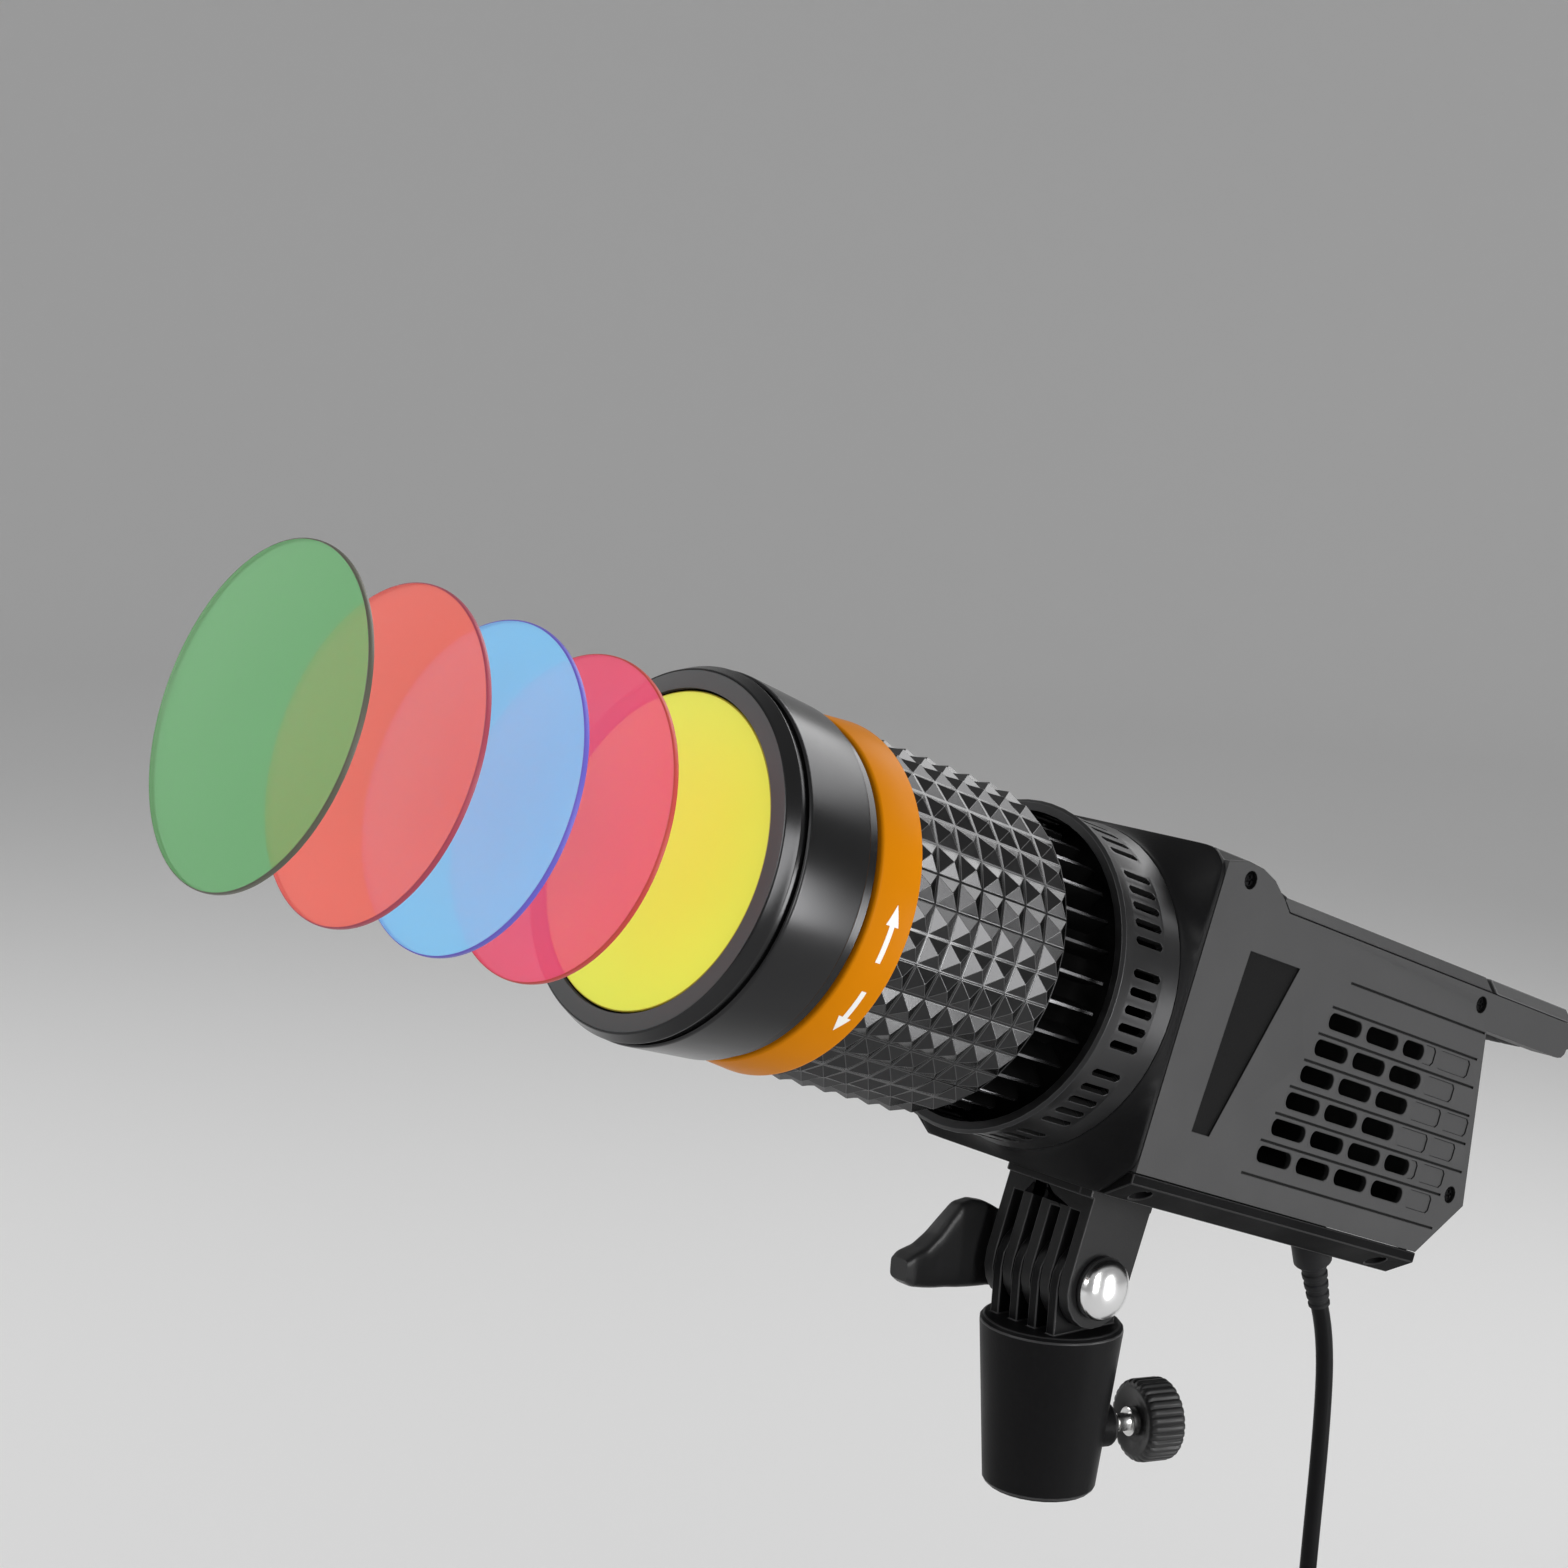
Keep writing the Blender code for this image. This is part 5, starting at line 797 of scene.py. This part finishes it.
# Vented collar
# A turned aluminium ring, anodised dark, pressed on to the round end of the shell. Ten groups of five slots are
# milled through it and let the drum's warm air out.
collar_dark = finish("collar_dark", (0.034, 0.034, 0.035), 0.36, metallic=0.8, mottle=0.12, turned=True, grain=0.0006,
                     relief=0.00001)
# The collar's rolled edges are lighter: painted highlight.
collar_edge_highlight = finish("collar_edge_highlight", (0.060, 0.060, 0.062), 0.34, metallic=0.8)
collar_turn = math.radians(-17.5)
collar = rolled("vent_collar", 0.18 * mm, collar_dark, collar_edge_highlight, turned_by=collar_turn)
collar.data.materials.append(painted_shade_black)
# The walls of the slots and the bore are painted black as painted shade: their faces look along the ring or inwards.
slot_from, slot_to = -34.5 * mm, -18 * mm
middles, ways = faces_in_lamp(collar.data)
outward = (middles * ways)[:, (0, 2)].sum(axis=1) / np.hypot(middles[:, 0], middles[:, 2])
in_slot = (np.abs(outward) < 0.5) & (middles[:, 1] > slot_from) & (middles[:, 1] < slot_to)
look_of(collar.data, 2 * (in_slot | (outward < -0.5)))
fit(collar, "head", "collar_metal", "vent_collar")

# Finned drum
# The heat sink: a black anodised aluminium extrusion with 30 fins, whose thin tips are in a lighter metal finish. A
# flange at its rear is bolted inside the shell.
drum_black = finish("drum_black", (0.0025, 0.0025, 0.0025), 0.8, specular=0.05, mottle=0.2)
fin_bright = finish("fin_bright", (0.30, 0.30, 0.31), 0.26, metallic=1.0, mottle=0.2)
fin_count, fin_phase = 30, 1 / 3
# Seven points make one fin and its valley, as (share of the pitch, height from root 0 to tip 1).
fin_outline = np.array(((-0.5, 0), (-0.133, 0), (-0.063, 0.97), (-0.046, 1), (0.046, 1), (0.063, 0.97),
                        (0.133, 0)))
fin_angle = ((np.arange(fin_count)[:, None] + fin_phase + fin_outline[:, 0]) * 2 * math.pi / fin_count).ravel()
fin_height = np.tile(fin_outline[:, 1], fin_count)
# Rows of the drum: place along the axis, root radius, and fin height; the fins are rounded at the rear.
drum_rows = np.array(((-64.0, 35.8, 0), (-70.8, 35.8, 0), (-71.0, 36.0, 0), (-71.0, 43.0, 10.0),
                      (-70.8, 43.0, 10.4), (-40.2, 43.0, 10.4), (-39.6, 43.0, 10.2), (-39.2, 43.0, 9.6),
                      (-39.0, 43.0, 8.6), (-39.0, 43.0, 0), (-13.0, 43.0, 0), (-10.0, 55.5, 0), (-4.5, 55.6, 0),
                      (-4.5, 35.8, 0)))
drum_y, drum_root, drum_rise = (drum_rows[:, k:k + 1] for k in range(3))
drum_reach = drum_root + drum_rise * fin_height
drum_grid = on_lamp(np.stack((drum_reach * np.cos(fin_angle), drum_y + 0 * drum_reach,
                              drum_reach * np.sin(fin_angle)), axis=-1) * mm)
drum_mesh = skin("finned_drum_extruded", drum_grid, "ring", 25)
drum = shown("finned_drum_extruded", drum_mesh, drum_black, fin_bright)
# In the lighter metal finish: the faces near the fins' full height, up to where their rear ends are rounded.
tip_from, tip_end = 52.9 * mm, -39.4 * mm
middles, ways = faces_in_lamp(drum_mesh)
look_of(drum_mesh, (np.hypot(middles[:, 0], middles[:, 2]) > tip_from) & (middles[:, 1] < tip_end))
fit(drum, "head", "drum_metal", "finned_drum")

# Zoom grip
# A turned aluminium sleeve, anodised dark, with seven rows of 36 four-sided studs cut between shallow flat grooves.
# It turns on the guide tube and drives the barrel in and out.
grip_front, grip_rear, grip_plain_front = -145.2 * mm, -68.7 * mm, -163 * mm
grip_bore, grip_seat, grip_base, grip_tip = 53.9 * mm, 57.3 * mm, 58.7 * mm, 60.8 * mm
stud_rows, stud_count = 7, 36
stud_pitch = (grip_rear - grip_front) / stud_rows
groove_half, crown_half = 0.045, 0.022


def studs():
    """Points and faces of the sleeve. Each cell has an outer square, a base square drawn in by the groove's half
    width, and a small crown square at the tip radius; cells share their outer squares. The plain rows of the seat
    and the bore follow."""
    i, j = np.meshgrid(np.arange(stud_rows + 1), np.arange(stud_count), indexing="ij")
    corner = np.stack((grip_front + i * stud_pitch, j * 2 * math.pi / stud_count, grip_base + 0 * i), axis=-1)
    i, j = np.meshgrid(np.arange(stud_rows), np.arange(stud_count), indexing="ij")
    inset = np.array(((-1, -1), (-1, 1), (1, 1), (1, -1)))
    rings = []
    for half, reach in ((0.5 - groove_half, grip_base), (crown_half, grip_tip)):
        y = grip_front + (i[..., None] + 0.5 + half * inset[:, 0]) * stud_pitch
        t = (j[..., None] + 0.5 + half * inset[:, 1]) * 2 * math.pi / stud_count
        rings.append(np.stack((y, t, reach + 0 * y), axis=-1).reshape(-1, 3))
    plain = [(grip_front, grip_seat), (grip_plain_front, grip_seat), (grip_plain_front, grip_bore),
             (grip_rear, grip_bore)]
    j = np.arange(stud_count)
    plain = np.concatenate([np.stack((0 * j + y, turns(stud_count), 0 * j + r), axis=-1) for y, r in plain])
    points = np.concatenate((corner.reshape(-1, 3), rings[0], rings[1], plain))
    y, t, r = points.T
    spots = on_lamp(np.stack((r * np.cos(t), y, r * np.sin(t)), axis=-1))
    corner_id = np.arange((stud_rows + 1) * stud_count).reshape(stud_rows + 1, stud_count)
    cell = np.stack((corner_id[:-1], np.roll(corner_id, -1, axis=1)[:-1], np.roll(corner_id, -1, axis=1)[1:],
                     corner_id[1:]), axis=-1).reshape(-1, 4)
    base = corner_id.size + np.arange(len(cell) * 4).reshape(-1, 4)
    crown = base + len(cell) * 4
    faces = [crown]
    for k in range(4):
        n = (k + 1) % 4
        faces.append(np.stack((cell[:, k], cell[:, n], base[:, n], base[:, k]), axis=-1))
        faces.append(np.stack((base[:, k], base[:, n], crown[:, n], crown[:, k]), axis=-1))
    first = crown.max() + 1
    loops = [corner_id[0], *[first + stud_count * k + j for k in range(4)], corner_id[-1]]
    for one, two in zip(loops, loops[1:]):
        faces.append(np.stack((one, np.roll(one, -1), np.roll(two, -1), two), axis=-1))
    return spots, np.concatenate(faces)


stud_points, stud_faces = studs()
grip_corner = 14
grip_metal = finish("grip_metal", (0.050, 0.050, 0.051), 0.18, metallic=1.0, mottle=0.15, spread=0.04,
                    grain=0.0005, relief=0.00001)
# The studs' rolled edges are lighter: painted highlight.
grip_ridge_highlight = finish("grip_ridge_highlight", (0.11, 0.11, 0.112), 0.34, metallic=1.0)
grip_mesh = mesh_of("zoom_grip_studded", stud_points, stud_faces.tolist(), grip_corner)
grip = shown("zoom_grip_studded", grip_mesh, grip_metal, grip_ridge_highlight)
roll_edges(grip, 0.16 * mm, grip_corner, held=True)
fit(grip, "zoom_grip", "drum_metal", "zoom_grip")

# Orange ring
# A painted aluminium ring, slightly coned, pressed on to the grip's front. Two printed white arrows show the ways
# that the zoom turns.
ring_profile = [(-163.0, 57.9), (-163.0, 59.8), (-162.9, 60.3), (-162.55, 60.75), (-162.0, 61.0), (-147.0, 62.3),
                (-146.2, 62.35), (-145.75, 62.1), (-145.5, 61.6), (-145.5, 57.9)]
ring_orange = finish("ring_orange", (0.61, 0.20, 0.001), 0.34, specular=0.04, mottle=0.07, spread=0.05, grain=0.0006,
                     relief=0.00001)
ring_grid = on_lamp(lathe(np.array(ring_profile) * mm, 192))
put("zoom_ring_painted", ring_grid, "ring", 50, ring_orange, "zoom_grip", "ring_orange", "zoom_ring")
arrow_white = finish("arrow_white", (0.85, 0.84, 0.80), 0.5, mottle=0.03)


def ring_arrow(name, tail, tip, middle_y, shaft, head, head_share):
    """An arrow laid round the ring. Along its length s its half width is `shaft` up to the head, then falls in a
    straight line from `head` to nothing. The angle runs from tail to tip. The print stands 0.05 mm proud of the
    ring's face, whose radius goes from 61 mm at y = -162 mm to 62.3 mm at y = -147 mm."""
    s = np.concatenate((np.linspace(0, 1 - head_share, 14), np.linspace(1 - head_share + 1e-4, 1, 10)))
    half = np.where(s <= 1 - head_share, shaft, head * (1 - s) / head_share + 0.03 * mm)
    angle = np.radians(tail + (tip - tail) * s)[:, None]
    y = middle_y + half[:, None] * np.array((-1, -0.5, 0, 0.5, 1, 1, 0, -1))
    rise = np.array((0.05, 0.05, 0.05, 0.05, 0.05, -0.1, -0.1, -0.1)) * mm
    reach = 61.0 * mm + (y + 162.0 * mm) * (1.3 / 15.0) + rise
    grid = on_lamp(np.stack((reach * np.cos(angle), y + 0 * angle, reach * np.sin(angle)), axis=-1))
    put(name, grid, "capped", 40, arrow_white, "zoom_grip", "ring_orange")


ring_arrow("zoom_arrow_up", -13.0, 5.4, -153.6 * mm, 1.0 * mm, 2.6 * mm, 0.36)
ring_arrow("zoom_arrow_down", -22.8, -38.8, -152.4 * mm, 1.0 * mm, 2.6 * mm, 0.36)

# Lens barrel
# Turned aluminium, anodised a satin black: a chamfered mouth, a groove behind it, a step, and a tube that slides in
# the guide. A grey annulus is pressed into the mouth, round the filters' cell.
barrel_profile = [(-207.7, 60.9), (-207.6, 61.15), (-207.3, 61.5), (-204.4, 62.8), (-203.9, 63.1), (-202.9, 63.55),
                  (-202.5, 63.5), (-202.3, 63.2), (-202.2, 62.4), (-199.4, 62.4), (-199.3, 63.3), (-199.0, 63.8),
                  (-198.5, 64.0), (-197.9, 63.98),
                  (-171.2, 62.3), (-170.3, 62.2), (-169.8, 61.9), (-169.5, 61.5), (-169.4, 61.0), (-169.4, 60.3),
                  (-165.0, 60.2), (-164.7, 60.0), (-164.6, 59.7), (-164.6, 50.3), (-164.4, 50.2), (-112.3, 50.2),
                  (-112.0, 49.9), (-112.0, 47.5), (-112.2, 47.3), (-194.0, 47.3), (-194.0, 54.7), (-205.7, 54.7),
                  (-205.7, 60.9)]
barrel_black = finish("barrel_black", (0.042, 0.042, 0.043), 0.25, metallic=1.0, mottle=0.08, spread=0.02,
                      turned=True, grain=0.0004, relief=0.000002)
barrel_grid = on_lamp(lathe(np.array(barrel_profile) * mm, 192))
put("lens_barrel_turned", barrel_grid, "ring", 24, barrel_black, "lens_barrel", "drum_metal", "lens_barrel")
annulus_profile = [(-207.7, 54.7), (-207.7, 60.6), (-207.65, 60.78), (-207.5, 60.85), (-206.0, 60.85), (-206.0, 54.7)]
annulus_grey = finish("annulus_grey", (0.062, 0.072, 0.073), 0.50, specular=0.30, mottle=0.06, turned=True,
                      grain=0.0006, relief=0.00001)
annulus_grid = on_lamp(lathe(np.array(annulus_profile) * mm, 192))
put("front_annulus_turned", annulus_grid, "ring", 40, annulus_grey, "lens_barrel", "annulus_grey", "front_annulus")

# Condenser lens and its retaining ring
# A plano-convex lens of clear glass behind the filter cell. A black ring, threaded into the barrel, holds it.
lens_share = np.linspace(0, 1, 25)
lens_profile = [(-190 + 7 * s * s, 46.7 * s) for s in lens_share] + [(-180.6, 46.7), (-180.6, 0)]
lens_glass = finish("lens_glass", (0.80, 0.86, 0.88), 0.04, specular=0.6, mottle=0.0, spread=0.01, relief=0.0,
                    alpha=0.35)
put("condenser_lens_ground", on_lamp(lathe(np.array(lens_profile) * mm, 96)), "open", 40, lens_glass,
    "lens_barrel", "lens_glass", "condenser_lens")
fit(rolled("lens_retainer", 0.3 * mm, knob_black, knob_black), "lens_barrel", "drum_metal", "lens_retainer")

# Colour filters
# Five loose discs of tinted acrylic, spread in a row before the barrel that they drop into. Each has polished
# faces and a ground, darker edge.
# Tint, place of the front face in millimetres, colour of the faces and the edge, and cover of one face:
filter_tints = (("yellow", -206.9, (0.81, 0.98, 0.10), (0.42, 0.38, 0.02), 0.90),
                ("pink", -248.4, (0.90, 0.068, 0.155), (0.50, 0.045, 0.035), 0.70),
                ("blue", -284.7, (0.19, 0.65, 1.0), (0.12, 0.10, 0.52), 0.66),
                ("red", -322.4, (0.92, 0.115, 0.075), (0.36, 0.045, 0.08), 0.64),
                ("green", -365.0, (0.10, 0.42, 0.12), (0.085, 0.085, 0.06), 0.60))
edge_from = 53.55 * mm
disc_profile = [(0, 0), (0, 20), (0, 40), (0, 53.2), (0, 53.5), (0.08, 53.7), (0.3, 53.92), (0.7, 54.0), (1.4, 54.0),
                (1.8, 53.9), (2.0, 53.6), (2.0, 53.3), (2.0, 40), (2.0, 20), (2.0, 0)]
for tint, front, face_colour, edge_colour, cover in filter_tints:
    face_look = finish("filter_" + tint + "_face", face_colour, 0.30, specular=0.45, mottle=0.03, patch=0.05,
                       spread=0.02, relief=0.000002, grain=0.003, alpha=cover)
    rim_look = finish("filter_" + tint + "_rim", edge_colour, 0.4, specular=0.4, mottle=0.08)
    disc_grid = on_lamp(lathe(np.array(disc_profile) * mm, 144) + (0, front * mm, 0))
    disc_mesh = skin("filter_" + tint + "_disc", disc_grid, "open", 18)
    disc = shown("filter_" + tint + "_disc", disc_mesh, face_look, rim_look)
    disc.visible_shadow = False
    middles, ways = faces_in_lamp(disc_mesh)
    look_of(disc_mesh, np.hypot(middles[:, 0], middles[:, 2]) > edge_from)
    fit(disc, "filter_" + tint, "filter_" + tint, "filter_" + tint)

# Light source, fan and driver
# A metal board with a round phosphor field, held on the drum by a white ring. Behind the drum a moulded fan with
# seven blades blows on the fins, and the green driver board stands on legs on the tray.
inside_looks = (("cob_board", finish("board_metal", (0.72, 0.72, 0.70), 0.38, metallic=0.7)),
                ("led_emitter", finish("emitter_phosphor", (0.85, 0.62, 0.08), 0.35, mottle=0.05)),
                ("led_holder", finish("holder_white", (0.62, 0.62, 0.60), 0.5)),
                ("guide_tube", finish("tube_black", (0.014, 0.014, 0.015), 0.4, metallic=0.5, turned=True)),
                ("fan_frame", finish("fan_black", (0.018, 0.018, 0.019), 0.5)),
                ("fan_rotor", finish("rotor_black", (0.022, 0.022, 0.023), 0.42)),
                ("driver_board", finish("driver_green", (0.03, 0.14, 0.06), 0.4, mottle=0.3, patch=0.006)))
for node, look in inside_looks:
    dress(node, look)
